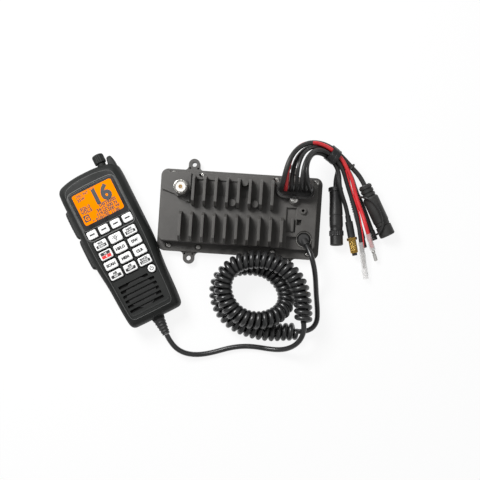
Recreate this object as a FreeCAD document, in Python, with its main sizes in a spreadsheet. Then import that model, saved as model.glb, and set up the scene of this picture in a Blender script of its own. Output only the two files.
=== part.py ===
"""VHF marine radio: black-box transceiver, command handset, curly cord and lead pigtail.

Millimetres, +Z up.  The transceiver lies on its mounting face, fins up, with its length along X.
The origin is the centre of the mounting face.  The handset lies on its back beside it.
"""
import FreeCAD, Part
import math
import os
import re

import Sketcher

Vector = FreeCAD.Vector
Placement = FreeCAD.Placement
Rotation = FreeCAD.Rotation

doc = FreeCAD.newDocument("MarineRadio")

# ---------------------------------------------------------------- driving dimensions
driving = {
    # transceiver housing
    "flange_length": 186.0,
    "flange_width": 94.0,
    "flange_height": 9.0,
    "flange_corner": 8.0,
    "deck_height": 22.0,
    "deck_corner": 6.0,
    "left_ledge": 2.0,
    "right_ledge": 5.5,
    "front_ledge": 10.0,
    "rear_ledge": 4.0,
    "edge_round": 1.2,
    "ear_spacing_long": 112.0,
    "ear_reach": 7.0,
    "ear_radius": 6.5,
    "ear_hole_radius": 2.75,
    "ear_height": 7.0,
    "ear_blend": 5.0,
    "dimple_radius": 1.1,
    "dimple_depth": 2.5,
    # cooling fins
    "fin_pitch": 12.7,
    "fin_thickness": 3.0,
    "fin_rise": 15.0,
    "fin_bevel": 4.5,
    "fin_root": 3.5,
    "rear_fin_x": -53.0,
    "rear_fin_count": 8,
    "rear_fin_low": 4.5,
    "rear_fin_margin": 5.0,
    "front_fin_x": -65.7,
    "front_fin_count": 10,
    "front_fin_margin": 1.0,
    "front_fin_high": -3.0,
    "fin_boss_radius": 3.9,
    "fin_boss_rise": 7.0,
    "fin_boss_low_y": 10.0,
    "fin_boss_margin": 9.5,
    "panel_depth": 2.0,
    "panel_low_y": 17.0,
    "panel_margin": 8.0,
    # recesses and bosses on the deck
    "socket_x": -67.0,
    "socket_y": 23.0,
    "platform_rise": 3.0,
    "platform_right_x": -57.0,
    "platform_nose_y": 8.5,
    "platform_left_y": 21.0,
    "lead_x": 61.5,
    "lead_margin": 14.6,
    "lead_boss_length": 43.7,
    "lead_boss_width": 19.4,
    "lead_boss_rise": 9.0,
    "lead_boss_wall": 2.0,
    "lead_recess": 7.0,
    "lead_groove": 0.8,
    "fit_gap": 0.1,
    "gland_screw_below": 9.7,
    "gland_screw_radius": 4.5,
    "gland_screw_head": 3.2,
    "gland_screw_drop": 4.0,
    "gland_screw_shank": 9.0,
    "gland_screw_offset": 1.0,
    "centre_recess_left": 53.0,
    "centre_recess_right": 64.5,
    "centre_recess_low": -18.5,
    "centre_recess_high": 9.5,
    "centre_recess_depth": 3.0,
    "rib_x": 60.6,
    "rib_width": 3.0,
    "rib_length": 15.0,
    "rib_rise": 2.0,
    "window_x": 68.0,
    "window_y": -6.6,
    "window_side": 5.6,
    "window_depth": 6.0,
    "ground_x": 71.8,
    "ground_y": 6.7,
    "ground_radius": 3.75,
    "ground_rise": 3.0,
    "ground_bore": 1.65,
    "ground_depth": 8.0,
    "mic_x": 75.0,
    "mic_margin": 11.9,
    "mic_hole_radius": 9.4,
    "mic_recess_left": 54.5,
    "mic_recess_width": 14.0,
    "mic_recess_depth": 6.0,
    "mic_hole_depth": 4.0,
    "mic_ring_wall": 1.2,
    "mic_ring_height": 5.0,
    "mic_dome_height": 8.0,
    "elbow_wall": 1.2,
    "elbow_length": 8.0,
    # underside
    "cover_thickness": 3.0,
    "cover_border": 3.0,
    "cavity_length": 133.0,
    "cavity_x": -18.0,
    "cavity_wall": 6.0,
    "cavity_height": 15.0,
    "screw_radius": 1.5,
    "screw_head_radius": 2.9,
    "screw_head_height": 2.2,
    "screw_inset": 6.0,
    "rear_seat_height": 14.0,
    "front_seat_height": 6.8,
    "screw_hole_room": 0.7,
    "screw_slot_width": 0.7,
    "screw_slot_depth": 1.0,
    "screw_tip_gap": 0.5,
    "rear_screw_a": -78.0,
    "rear_screw_b": -45.0,
    "rear_screw_c": 40.0,
    "rear_screw_d": 85.5,
    "front_screw_a": -80.0,
    "front_screw_b": -45.5,
    "front_screw_c": 40.0,
    "front_screw_d": 81.0,
    # antenna socket
    "barrel_radius": 7.94,
    "barrel_length": 15.0,
    "barrel_chamfer": 0.6,
    "barrel_floor": 3.0,
    "barrel_foot_radius": 7.4,
    "barrel_foot_gap": 0.2,
    "barrel_wall": 1.5,
    "shank_radius": 6.0,
    "shank_length": 6.0,
    "nut_radius": 10.6,
    "nut_height": 3.0,
    "insulator_drop": 1.4,
    "contact_radius": 2.1,
    "contact_bore": 1.0,
    "contact_bore_floor": 6.0,
    "contact_proud": 0.3,
    # handset shells
    "handset_x": -131.0,
    "handset_y": -47.0,
    "handset_turn": 30.4,
    "half_width": 38.5,
    "half_foot": 32.0,
    "half_arch": 16.0,
    "top_y": 88.0,
    "arch_rise": 6.0,
    "shoulder_y": -8.0,
    "foot_y": -90.0,
    "seam_height": 15.0,
    "face_height": 33.0,
    "face_inset": 6.5,
    "back_inset": 8.0,
    "shell_wall": 2.2,
    "seam_gap": 0.05,
    "outline_corner": 11.0,
    "face_round": 2.0,
    # display and keys
    "window_low_y": 33.5,
    "window_high_y": 75.0,
    "window_half": 28.0,
    "window_corner": 4.0,
    "lens_depth": 1.2,
    "lens_ledge": 3.0,
    "lens_proud": 0.2,
    "lcd_thickness": 2.0,
    "bezel_wall": 1.4,
    "bezel_rise": 1.0,
    "bezel_low_y": 16.6,
    "bezel_margin": 1.2,
    "bezel_corner": 7.0,
    "handset_board": 1.6,
    "key_gap": 0.3,
    "key_drop": 1.5,
    "key_rise": 2.2,
    "key_width": 15.0,
    "key_height": 9.8,
    "key_corner": 2.0,
    "key_crown": 0.8,
    "key_pitch_x": 18.0,
    "key_pitch_y": 12.4,
    "key_top_y": 10.0,
    "soft_width": 11.6,
    "soft_height": 9.4,
    "soft_pitch": 14.6,
    "soft_y": 24.4,
    "soft_rise": 1.8,
    "power_x": 20.8,
    "power_y": -38.7,
    "power_radius": 4.4,
    # speaker
    "louvre_count": 6,
    "louvre_pitch": 5.9,
    "louvre_width": 2.4,
    "louvre_half": 20.5,
    "louvre_x": -2.0,
    "louvre_low_y": -72.0,
    "speaker_radius": 17.0,
    "speaker_height": 6.5,
    # side keys
    "talk_low_y": 28.6,
    "talk_high_y": 62.6,
    "side_low_y": -10.0,
    "side_high_y": 27.2,
    "side_low_z": 8.5,
    "side_high_z": 23.5,
    "side_proud": 4.4,
    "side_depth": 2.6,
    "side_travel": 1.4,
    "side_round": 1.6,
    # channel knob and guard
    "knob_x": 21.0,
    "knob_z": 20.0,
    "knob_radius": 6.8,
    "knob_length": 10.5,
    "knob_gap": 0.3,
    "flute_count": 12,
    "flute_radius": 1.0,
    "collar_radius": 4.8,
    "collar_end_y": 94.6,
    "shaft_radius": 3.0,
    "shaft_length": 9.0,
    "shaft_clearance": 0.05,
    "guard_low_x": 28.6,
    "guard_width": 6.4,
    "guard_low_y": 74.0,
    "guard_high_y": 98.0,
    "guard_height": 12.0,
    # strain relief boot
    "boot_z": 14.0,
    "boot_radius": 7.2,
    "boot_end_radius": 4.2,
    "boot_length": 20.0,
    "boot_ribs": 5,
    "boot_collar_y": -91.5,
    # cords and plugs
    "coil_diameter": 21.0,
    "mic_cord": 6.0,
    "thick_lead": 5.4,
    "coax_lead": 5.0,
    "power_lead": 4.6,
    "thin_lead": 3.8,
    "lane_pitch": 5.6,
    "tape_wall": 0.6,
    "tape_length": 11.0,
    "tape_gap": 0.45,
    "plug_radius": 7.8,
    "plug_ring_radius": 8.4,
    "plug_core_radius": 6.6,
    "plug_ring_length": 6.0,
    "plug_ring_start": 50.0,
    "plug_length": 67.0,
    "plug_cap_length": 4.6,
    "plug_swell": 30.0,
    "plug_groove": 32.0,
    "plug_shoulder": 44.0,
    "plug_neck_start": 47.0,
    "plug_mouth_depth": 5.0,
    "coax_sleeve_radius": 4.4,
    "coax_core_radius": 2.6,
    "coax_nut_radius": 4.4,
    "coax_flange_radius": 6.0,
    "coax_nut_start": 25.5,
    "coax_nut_length": 18.0,
    "coax_flange_length": 3.4,
    "coax_tip_length": 3.2,
    "coax_clamp_radius": 3.1,
    "coax_clamp_length": 6.6,
    "spin_clearance": 0.05,
    "spin_end_gap": 0.1,
    "slim_radius": 3.6,
    "slim_length": 61.0,
    "slim_shoulder": 50.0,
    "slim_rib_count": 6,
    "slim_rib_pitch": 2.8,
    "joint_radius": 9.0,
    "joint_length": 64.0,
    "joint_shoulder": 17.0,
    "joint_seam": 46.0,
    "joint_rib_count": 3,
    "joint_rib_pitch": 4.6,
    "joint_mouth_depth": 4.0,
    "capped_radius": 4.4,
    "capped_length": 43.0,
    "cap_length": 11.9,
    "cap_gap": 0.1,
    "strap_diameter": 2.4,
    "sleeve_radius": 3.4,
    "sleeve_wall": 0.5,
    "sleeve_gap": 0.3,
    "red_sleeve_length": 20.2,
    "black_sleeve_length": 42.7,
    "terminal_seat_radius": 2.85,
    "terminal_seat_length": 3.0,
    "red_terminal_length": 34.0,
    "red_crimp_radius": 2.3,
    "red_tab_radius": 2.0,
    "black_terminal_length": 31.0,
    "black_crimp_radius": 2.3,
    "black_pin_radius": 1.4,
}

sheet = doc.addObject("Spreadsheet::Sheet", "sizes")
for row, (name, value) in enumerate(driving.items(), start=1):
    sheet.set(f"A{row}", name)
    sheet.set(f"B{row}", str(value))
    sheet.setAlias(f"B{row}", name)
doc.recompute()

wordPattern = re.compile(r"[a-z][a-z_]*")


def bound(formula):
    """A formula written with bare dimension names, as an expression that reads the sheet."""
    def inSheet(found):
        word = found.group(0)
        return f"sizes.{word}" if word in driving else word
    return wordPattern.sub(inSheet, str(formula))


workings = doc.addObject("Spreadsheet::Sheet", "workings")
known = {}


def number(formula):
    """The value of a formula, worked out once in the cell of a second sheet."""
    if formula not in known:
        workings.set("A1", f"={bound(formula)}")
        workings.recompute()
        known[formula] = float(workings.get("A1"))
    return known[formula]


# ---------------------------------------------------------------- modelling helpers
subparts = []


def newBody(name):
    body = doc.addObject("PartDesign::Body", name)
    body.Label = name
    subparts.append(body)
    return body


def originFeature(body, role):
    return next(item for item in body.Origin.OriginFeatures if item.Role == role)


def newSketch(body, role="XY_Plane", offset="0"):
    sketch = body.newObject("Sketcher::SketchObject", f"{body.Name}_sketch")
    sketch.AttachmentSupport = [(originFeature(body, role), "")]
    sketch.MapMode = "FlatFace"
    if offset != "0":
        sketch.setExpression("AttachmentOffset.Base.z", bound(offset))
    return sketch


def hold(sketch, measures):
    """Add measured constraints in one go, each tied to the sheet; signed places use both signs."""
    rows = [Sketcher.Constraint(kind, *references, number(formula))
            for kind, references, formula in measures]
    for index, (_, _, formula) in zip(sketch.addConstraint(rows), measures):
        sketch.setExpression(f"Constraints[{index}]", bound(formula))


def polygon(sketch, points):
    """A closed outline of straight sides; every corner is held by its own two measures."""
    corners = [Vector(number(x), number(y), 0) for x, y in points]
    first = sketch.GeometryCount
    count = len(points)
    sides = [Part.LineSegment(corners[i], corners[(i + 1) % count]) for i in range(count)]
    sketch.addGeometry(sides, False)
    sketch.addConstraint([Sketcher.Constraint("Coincident", first + i, 2, first + (i + 1) % count, 1)
                          for i in range(count)])
    hold(sketch, [(kind, (first + i, 1), point[axis]) for i, point in enumerate(points)
                  for axis, kind in enumerate(("DistanceX", "DistanceY"))])


def rectangle(sketch, x, y, width, height):
    """A rectangle centred on (x, y)."""
    left, right = f"{x} - ({width}) / 2", f"{x} + ({width}) / 2"
    low, high = f"{y} - ({height}) / 2", f"{y} + ({height}) / 2"
    polygon(sketch, [(left, low), (right, low), (right, high), (left, high)])


def disc(sketch, x, y, radius):
    index = sketch.GeometryCount
    centre = Vector(number(x), number(y), 0)
    sketch.addGeometry(Part.Circle(centre, Vector(0, 0, 1), number(radius)), False)
    hold(sketch, [("Radius", (index,), radius), ("DistanceX", (index, 3), x), ("DistanceY", (index, 3), y)])


def softRectangle(sketch, x, y, width, height, corner):
    """A rectangle with quarter-round corners, held by their centres and their radius."""
    radius = number(corner)
    dx, dy = f"(({width}) / 2 - ({corner}))", f"(({height}) / 2 - ({corner}))"
    middle = Vector(number(x), number(y), 0)
    signs = [(1, -1), (1, 1), (-1, 1), (-1, -1)]
    centres = [middle + Vector(sx * number(dx), sy * number(dy), 0) for sx, sy in signs]
    first = sketch.GeometryCount
    outline = []
    for i, centre in enumerate(centres):
        start = (i - 1) * math.pi / 2
        circle = Part.Circle(centre, Vector(0, 0, 1), radius)
        outline.append(Part.ArcOfCircle(circle, start, start + math.pi / 2))
        reach = Vector(math.cos(start + math.pi / 2), math.sin(start + math.pi / 2), 0) * radius
        outline.append(Part.LineSegment(centre + reach, centres[(i + 1) % 4] + reach))
    sketch.addGeometry(outline, False)
    joints = []
    measures = [("Radius", (first,), corner)]
    for i, (sx, sy) in enumerate(signs):
        arc, line, after = first + 2 * i, first + 2 * i + 1, first + 2 * ((i + 1) % 4)
        joints.append(Sketcher.Constraint("Tangent", arc, 2, line, 1))
        joints.append(Sketcher.Constraint("Tangent", line, 2, after, 1))
        measures.append(("DistanceX", (arc, 3), f"{x} + {sx} * {dx}"))
        measures.append(("DistanceY", (arc, 3), f"{y} + {sy} * {dy}"))
    sketch.addConstraint(joints)
    hold(sketch, measures)


def stadium(sketch, x, y, length, width):
    """A slot outline along X: two straight sides joined by half circles."""
    radius = f"(({width}) / 2)"
    reach = f"(({length} - ({width})) / 2)"
    middle = Vector(number(x), number(y), 0)
    rise = Vector(0, number(radius), 0)
    along = Vector(number(reach), 0, 0)
    first = sketch.GeometryCount
    outline = []
    for sign in (1, -1):
        centre = middle + along * sign
        outline.append(Part.LineSegment(middle - along * sign - rise * sign, centre - rise * sign))
        circle = Part.Circle(centre, Vector(0, 0, 1), rise.y)
        outline.append(Part.ArcOfCircle(circle, -sign * math.pi / 2, -sign * math.pi / 2 + math.pi))
    sketch.addGeometry(outline, False)
    sketch.addConstraint([Sketcher.Constraint("Tangent", first, 2, first + 1, 1),
                          Sketcher.Constraint("Tangent", first + 1, 2, first + 2, 1),
                          Sketcher.Constraint("Tangent", first + 2, 2, first + 3, 1),
                          Sketcher.Constraint("Coincident", first + 3, 2, first, 1),
                          Sketcher.Constraint("Horizontal", first)])
    hold(sketch, [("Radius", (first + 1,), radius),
                  ("DistanceX", (first + 1, 3), f"{x} + {reach}"), ("DistanceY", (first + 1, 3), y),
                  ("DistanceX", (first + 3, 3), f"{x} - {reach}"), ("DistanceY", (first + 3, 3), y)])


def pad(body, sketch, length, reverse=False, midplane=False):
    feature = body.newObject("PartDesign::Pad", f"{body.Name}_pad")
    feature.Profile = sketch
    feature.setExpression("Length", bound(length))
    feature.Reversed = reverse
    feature.Midplane = midplane
    body.Tip = feature
    doc.recompute()
    return feature


def pocket(body, sketch, depth, reverse=False, midplane=False):
    """Cut a profile into the body and make sure that material really went."""
    before = body.Shape.Volume
    feature = body.newObject("PartDesign::Pocket", f"{body.Name}_pocket")
    feature.Profile = sketch
    feature.setExpression("Length", bound(depth))
    feature.Reversed = reverse
    feature.Midplane = midplane
    body.Tip = feature
    doc.recompute()
    if body.Shape.Volume > before - 1e-6:
        raise RuntimeError(f"{feature.Name} of {body.Label} cuts nothing")
    return feature


def revolve(body, sketch):
    feature = body.newObject("PartDesign::Revolution", f"{body.Name}_turn")
    feature.Profile = sketch
    feature.ReferenceAxis = (sketch, ["V_Axis"])
    feature.Angle = 360
    body.Tip = feature
    doc.recompute()
    return feature


def roundEdges(body, chosen, radius, chamfer=False):
    """Fillet (or chamfer) those edges of the body so far that the test picks out."""
    base = body.Tip
    names = [f"Edge{i}" for i, edge in enumerate(base.Shape.Edges, start=1) if chosen(edge)]
    if not names:
        raise RuntimeError(f"no edges to round on {body.Label}")
    kind = "PartDesign::Chamfer" if chamfer else "PartDesign::Fillet"
    feature = body.newObject(kind, f"{body.Name}_edges")
    feature.Base = (base, names)
    feature.setExpression("Size" if chamfer else "Radius", bound(radius))
    body.Tip = feature
    doc.recompute()
    return feature


def upright(edge):
    if len(edge.Vertexes) != 2:
        return False
    run = edge.Vertexes[1].Point - edge.Vertexes[0].Point
    return math.hypot(run.x, run.y) < 0.05 * abs(run.z)


def levelAt(formula):
    """Test for edges that lie all the way at one height."""
    height = number(formula)
    return lambda edge: abs(edge.BoundBox.ZMin - height) < 1e-4 and abs(edge.BoundBox.ZMax - height) < 1e-4


def linePattern(body, feature, role, length, count):
    pattern = body.newObject("PartDesign::LinearPattern", f"{body.Name}_pattern")
    pattern.Originals = [feature]
    pattern.Direction = (originFeature(body, role), [""])
    pattern.setExpression("Length", bound(length))
    pattern.setExpression("Occurrences", bound(count))
    body.Tip = pattern
    doc.recompute()
    return pattern


def turned(name, profile):
    """A body of revolution about Z, from (radius, height) corners."""
    body = newBody(name)
    sketch = newSketch(body, "XZ_Plane")
    polygon(sketch, profile)
    revolve(body, sketch)
    return body


def place(body, x, y, z):
    """Set a body down at a place worked out from the sheet."""
    for axis, formula in zip("xyz", (x, y, z)):
        body.setExpression(f"Placement.Base.{axis}", bound(formula))
    doc.recompute()


# ---------------------------------------------------------------- transceiver
deckLength = "(flange_length - left_ledge - right_ledge)"
deckWidth = "(flange_width - front_ledge - rear_ledge)"
deckX = "((left_ledge - right_ledge) / 2)"
deckY = "((front_ledge - rear_ledge) / 2)"
deckLeft = "(left_ledge - flange_length / 2)"
deckRight = "(flange_length / 2 - right_ledge)"
deckFront = "(front_ledge - flange_width / 2)"
deckRear = "(flange_width / 2 - rear_ledge)"
platformTop = "(deck_height + platform_rise)"
leadBossTop = "(deck_height + lead_boss_rise)"
micFloor = "(deck_height - mic_recess_depth)"

# What lies along the long sides keeps its distance from them.
earY = "(flange_width / 2 + ear_reach)"
screwY = "(flange_width / 2 - screw_inset)"
leadY = f"({deckRear} - lead_margin)"
glandScrewY = f"({leadY} - gland_screw_below)"
micY = f"({deckFront} + mic_margin)"
micRecessHigh = f"({deckFront} + mic_recess_width)"
panelHigh = f"({deckRear} - panel_margin)"
finSpan = {
    "rear": ("rear_fin_low", f"({deckRear} - rear_fin_margin)"),
    "front": (f"({deckFront} + front_fin_margin)", "front_fin_high"),
}

# Cover screws: four behind the fins in open counterbores, four on the front ledge.
rearScrewX = [f"rear_screw_{letter}" for letter in "abcd"]
frontScrewX = [f"front_screw_{letter}" for letter in "abcd"]


def buildHousing():
    """Die-cast heatsink housing: flange with ears, deck, fins, bosses and stepped recesses."""
    body = newBody("rear_housing")
    sketch = newSketch(body)
    rectangle(sketch, "0", "0", "flange_length", "flange_width")
    pad(body, sketch, "flange_height")
    roundEdges(body, upright, "flange_corner")

    # four fastening ears, blended into the long sides
    for side in ("", "-"):
        for end in ("", "-"):
            x = f"{end}ear_spacing_long / 2"
            y = f"{side}{earY}"
            neck = newSketch(body)
            rectangle(neck, x, f"{side}(flange_width / 2 + ear_reach / 2 - 1)", "ear_radius * 2",
                      "ear_reach + 2")
            pad(body, neck, "ear_height")
            tip = newSketch(body)
            disc(tip, x, y, "ear_radius")
            pad(body, tip, "ear_height")
    halfWidth = number("flange_width / 2")

    def earRoot(edge):
        return (upright(edge) and abs(abs(edge.BoundBox.YMin) - halfWidth) < 1e-3
                and edge.BoundBox.ZMin < 1 and abs(edge.BoundBox.XMin) < number("flange_length / 2 - 12"))
    roundEdges(body, earRoot, "ear_blend")

    # deck
    sketch = newSketch(body, offset="flange_height")
    rectangle(sketch, deckX, deckY, deckLength, deckWidth)
    pad(body, sketch, "deck_height - flange_height")
    deckEdgeTop = number("deck_height - 1")
    roundEdges(body, lambda e: upright(e) and e.BoundBox.ZMax > deckEdgeTop, "deck_corner")
    roundEdges(body, levelAt("deck_height"), "edge_round")

    # platform of the antenna socket, with its slanting front edge
    sketch = newSketch(body, offset="deck_height - fin_root")
    polygon(sketch, [(f"{deckLeft} + 2", "platform_left_y"),
                     ("platform_right_x - 16", "platform_left_y - 5"),
                     ("platform_right_x - 4", "platform_nose_y"), ("platform_right_x", "platform_nose_y"),
                     ("platform_right_x", f"{deckRear} - 2"), (f"{deckLeft} + 2", f"{deckRear} - 2")])
    pad(body, sketch, "fin_root + platform_rise")

    # shallow panel under the rear fins
    sketch = newSketch(body, offset="deck_height")
    rectangle(sketch, "rear_fin_x + fin_pitch * 2.5", f"(panel_low_y + {panelHigh}) / 2",
              "fin_pitch * 5", f"{panelHigh} - panel_low_y")
    pocket(body, sketch, "panel_depth")

    # stadium boss of the leads
    sketch = newSketch(body, offset="deck_height - 1")
    stadium(sketch, "lead_x", leadY, "lead_boss_length", "lead_boss_width")
    pad(body, sketch, "lead_boss_rise + 1")
    roundEdges(body, levelAt(leadBossTop), "edge_round")
    pillar = newSketch(body, offset="deck_height - 1")
    disc(pillar, "lead_x - gland_screw_offset", glandScrewY, "gland_screw_radius + 1.3")
    pad(body, pillar, "lead_boss_rise - gland_screw_drop + 1")

    # ground boss, fin bosses
    sketch = newSketch(body, offset="deck_height - 1")
    disc(sketch, "ground_x", "ground_y", "ground_radius")
    pad(body, sketch, "ground_rise + 1")
    sketch = newSketch(body, offset="deck_height - fin_root")
    for gap, y in (("3.5", "fin_boss_low_y"), ("5.5", "fin_boss_low_y"), ("4.5", f"{deckRear} - fin_boss_margin")):
        disc(sketch, f"rear_fin_x + fin_pitch * {gap}", y, "fin_boss_radius")
    pad(body, sketch, "fin_root + fin_boss_rise")

    # recesses of the right end
    sketch = newSketch(body, offset="deck_height")
    rectangle(sketch, "(centre_recess_left + centre_recess_right) / 2",
              "(centre_recess_low + centre_recess_high) / 2",
              "centre_recess_right - centre_recess_left", "centre_recess_high - centre_recess_low")
    pocket(body, sketch, "centre_recess_depth")
    sketch = newSketch(body, offset="deck_height")
    rectangle(sketch, f"(mic_recess_left + {deckRight} - 3) / 2",
              f"({micRecessHigh} + {deckFront}) / 2 - 1",
              f"{deckRight} - 3 - mic_recess_left", f"{micRecessHigh} - {deckFront} + 2")
    pocket(body, sketch, "mic_recess_depth")
    sketch = newSketch(body, offset="deck_height")
    disc(sketch, "mic_x", micY, "mic_hole_radius")
    pocket(body, sketch, "mic_recess_depth + mic_hole_depth")
    sketch = newSketch(body, offset="deck_height")
    rectangle(sketch, "window_x", "window_y", "window_side", "window_side * 1.15")
    pocket(body, sketch, "window_depth")
    sketch = newSketch(body, offset="deck_height - centre_recess_depth - 1")
    rectangle(sketch, "rib_x", "(centre_recess_low + rib_length / 2 + 1)", "rib_width", "rib_length")
    pad(body, sketch, "centre_recess_depth + rib_rise + 1")

    # fins: a bevelled blade in each row, repeated along X
    for row in ("rear", "front"):
        blade = newSketch(body, "YZ_Plane", offset=f"{row}_fin_x - fin_thickness / 2")
        low, high = finSpan[row]
        root, crest = "deck_height - fin_root", "deck_height + fin_rise"
        polygon(blade, [(low, root), (high, root), (high, f"{crest} - fin_bevel * 1.5"),
                        (f"{high} - fin_bevel", crest), (f"{low} + fin_bevel", crest),
                        (low, f"{crest} - fin_bevel * 1.5")])
        fin = pad(body, blade, "fin_thickness")
        linePattern(body, fin, "X_Axis", f"fin_pitch * ({row}_fin_count - 1)", f"{row}_fin_count")

    # wells of the lead gland, of its clamp screw and of the ground tapping
    sketch = newSketch(body, offset=leadBossTop)
    stadium(sketch, "lead_x", leadY, "lead_boss_length - lead_boss_wall * 2",
            "lead_boss_width - lead_boss_wall * 2")
    pocket(body, sketch, "lead_recess")
    sketch = newSketch(body, offset=leadBossTop)
    disc(sketch, "lead_x - gland_screw_offset", glandScrewY, "gland_screw_radius + 0.5")
    pocket(body, sketch, "gland_screw_drop")
    sketch = newSketch(body, offset=f"{leadBossTop} - gland_screw_drop")
    disc(sketch, "lead_x - gland_screw_offset", glandScrewY, "gland_screw_radius / 2 + fit_gap / 2")
    pocket(body, sketch, "gland_screw_shank + 1")
    sketch = newSketch(body, offset="deck_height + ground_rise")
    disc(sketch, "ground_x", "ground_y", "ground_bore")
    pocket(body, sketch, "ground_depth")

    # bore for the shank of the antenna socket
    sketch = newSketch(body, offset=platformTop)
    disc(sketch, "socket_x", "socket_y", "shank_radius + fit_gap / 2")
    pocket(body, sketch, "shank_length + fit_gap")

    # ear holes with two cast dimples each
    sketch = newSketch(body, offset="ear_height + 3")
    for side in ("", "-"):
        for end in ("", "-"):
            disc(sketch, f"{end}ear_spacing_long / 2", f"{side}{earY}", "ear_hole_radius")
    pocket(body, sketch, "ear_height + 6")
    sketch = newSketch(body, offset="ear_height")
    for side in ("", "-"):
        for end in ("", "-"):
            for hand in ("+", "-"):
                disc(sketch, f"{end}ear_spacing_long / 2 {hand} ear_radius * 0.72",
                     f"{side}({earY} - ear_radius * 0.72)", "dimple_radius")
    pocket(body, sketch, "dimple_depth")

    # counterbores and holes of the cover screws
    for xs, y, seat in ((rearScrewX, screwY, "rear_seat_height"),
                        (frontScrewX, "-" + screwY, "front_seat_height")):
        sketch = newSketch(body, offset="deck_height + 1")
        for x in xs:
            disc(sketch, x, y, "screw_head_radius + screw_hole_room")
        pocket(body, sketch, f"deck_height + 1 - {seat}")
        sketch = newSketch(body, offset=seat)
        for x in xs:
            disc(sketch, x, y, "screw_radius + fit_gap / 2")
        pocket(body, sketch, seat)

    # rebate of the base cover and the space inside
    sketch = newSketch(body)
    rectangle(sketch, "0", "0", "flange_length - cover_border * 2", "flange_width - cover_border * 2")
    pocket(body, sketch, "cover_thickness + fit_gap / 2", reverse=True)
    sketch = newSketch(body)
    rectangle(sketch, "cavity_x", deckY, "cavity_length", f"{deckWidth} - cavity_wall * 2")
    pocket(body, sketch, "cover_thickness + cavity_height", reverse=True)
    return body


def buildCover():
    """Base plate that closes the housing; its lower face is the mounting face."""
    body = newBody("base_cover")
    sketch = newSketch(body)
    rectangle(sketch, "0", "0", "flange_length - cover_border * 2 - fit_gap * 2",
              "flange_width - cover_border * 2 - fit_gap * 2")
    pad(body, sketch, "cover_thickness")
    sketch = newSketch(body, offset="cover_thickness")
    for xs, y in ((rearScrewX, screwY), (frontScrewX, "-" + screwY)):
        for x in xs:
            disc(sketch, x, y, "screw_radius + fit_gap / 2")
    pocket(body, sketch, "cover_thickness")


def buildScrews():
    """Cover screws and the larger clamp screw of the gland, one solid each."""
    screws = []
    places = [(x, screwY, "rear_seat_height") for x in rearScrewX]
    places += [(x, "-" + screwY, "front_seat_height") for x in frontScrewX]
    for x, y, seat in places:
        head = doc.addObject("Part::Cylinder", "screw_head")
        head.setExpression("Radius", bound("screw_head_radius"))
        head.setExpression("Height", bound("screw_head_height"))
        shank = doc.addObject("Part::Cylinder", "screw_shank")
        shank.setExpression("Radius", bound("screw_radius"))
        shank.setExpression("Height", bound(f"{seat} - screw_tip_gap"))
        drive = doc.addObject("Part::Box", "screw_drive")
        drive.setExpression("Length", bound("screw_head_radius"))
        drive.setExpression("Width", bound("screw_slot_width"))
        drive.setExpression("Height", bound("screw_slot_depth * 2"))
        slotZ = f"{seat} + screw_head_height - screw_slot_depth"
        for piece, dx, dy, z in ((head, "0", "0", seat), (shank, "0", "0", "screw_tip_gap"),
                                 (drive, "screw_head_radius / 2", "screw_slot_width / 2", slotZ)):
            piece.setExpression("Placement.Base.x", bound(f"{x} - {dx}"))
            piece.setExpression("Placement.Base.y", bound(f"{y} - {dy}"))
            piece.setExpression("Placement.Base.z", bound(z))
        whole = doc.addObject("Part::MultiFuse", "screw_body")
        whole.Shapes = [head, shank]
        cut = doc.addObject("Part::Cut", "screw")
        cut.Base = whole
        cut.Tool = drive
        screws.append(cut)
    clampHead = doc.addObject("Part::Cylinder", "clamp_head")
    clampHead.setExpression("Radius", bound("gland_screw_radius"))
    clampHead.setExpression("Height", bound("gland_screw_head"))
    clampShank = doc.addObject("Part::Cylinder", "clamp_shank")
    clampShank.setExpression("Radius", bound("gland_screw_radius / 2"))
    clampShank.setExpression("Height", bound("gland_screw_shank"))
    seat = f"{leadBossTop} - gland_screw_drop"
    for piece, z in ((clampHead, seat), (clampShank, f"{seat} - gland_screw_shank")):
        piece.setExpression("Placement.Base.x", bound("lead_x - gland_screw_offset"))
        piece.setExpression("Placement.Base.y", bound(glandScrewY))
        piece.setExpression("Placement.Base.z", bound(z))
    clamp = doc.addObject("Part::MultiFuse", "clamp_screw")
    clamp.Shapes = [clampHead, clampShank]
    whole = doc.addObject("Part::Compound", "cover_screws")
    whole.Links = screws + [clamp]
    whole.Label = "cover_screws"
    subparts.append(whole)


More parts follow.
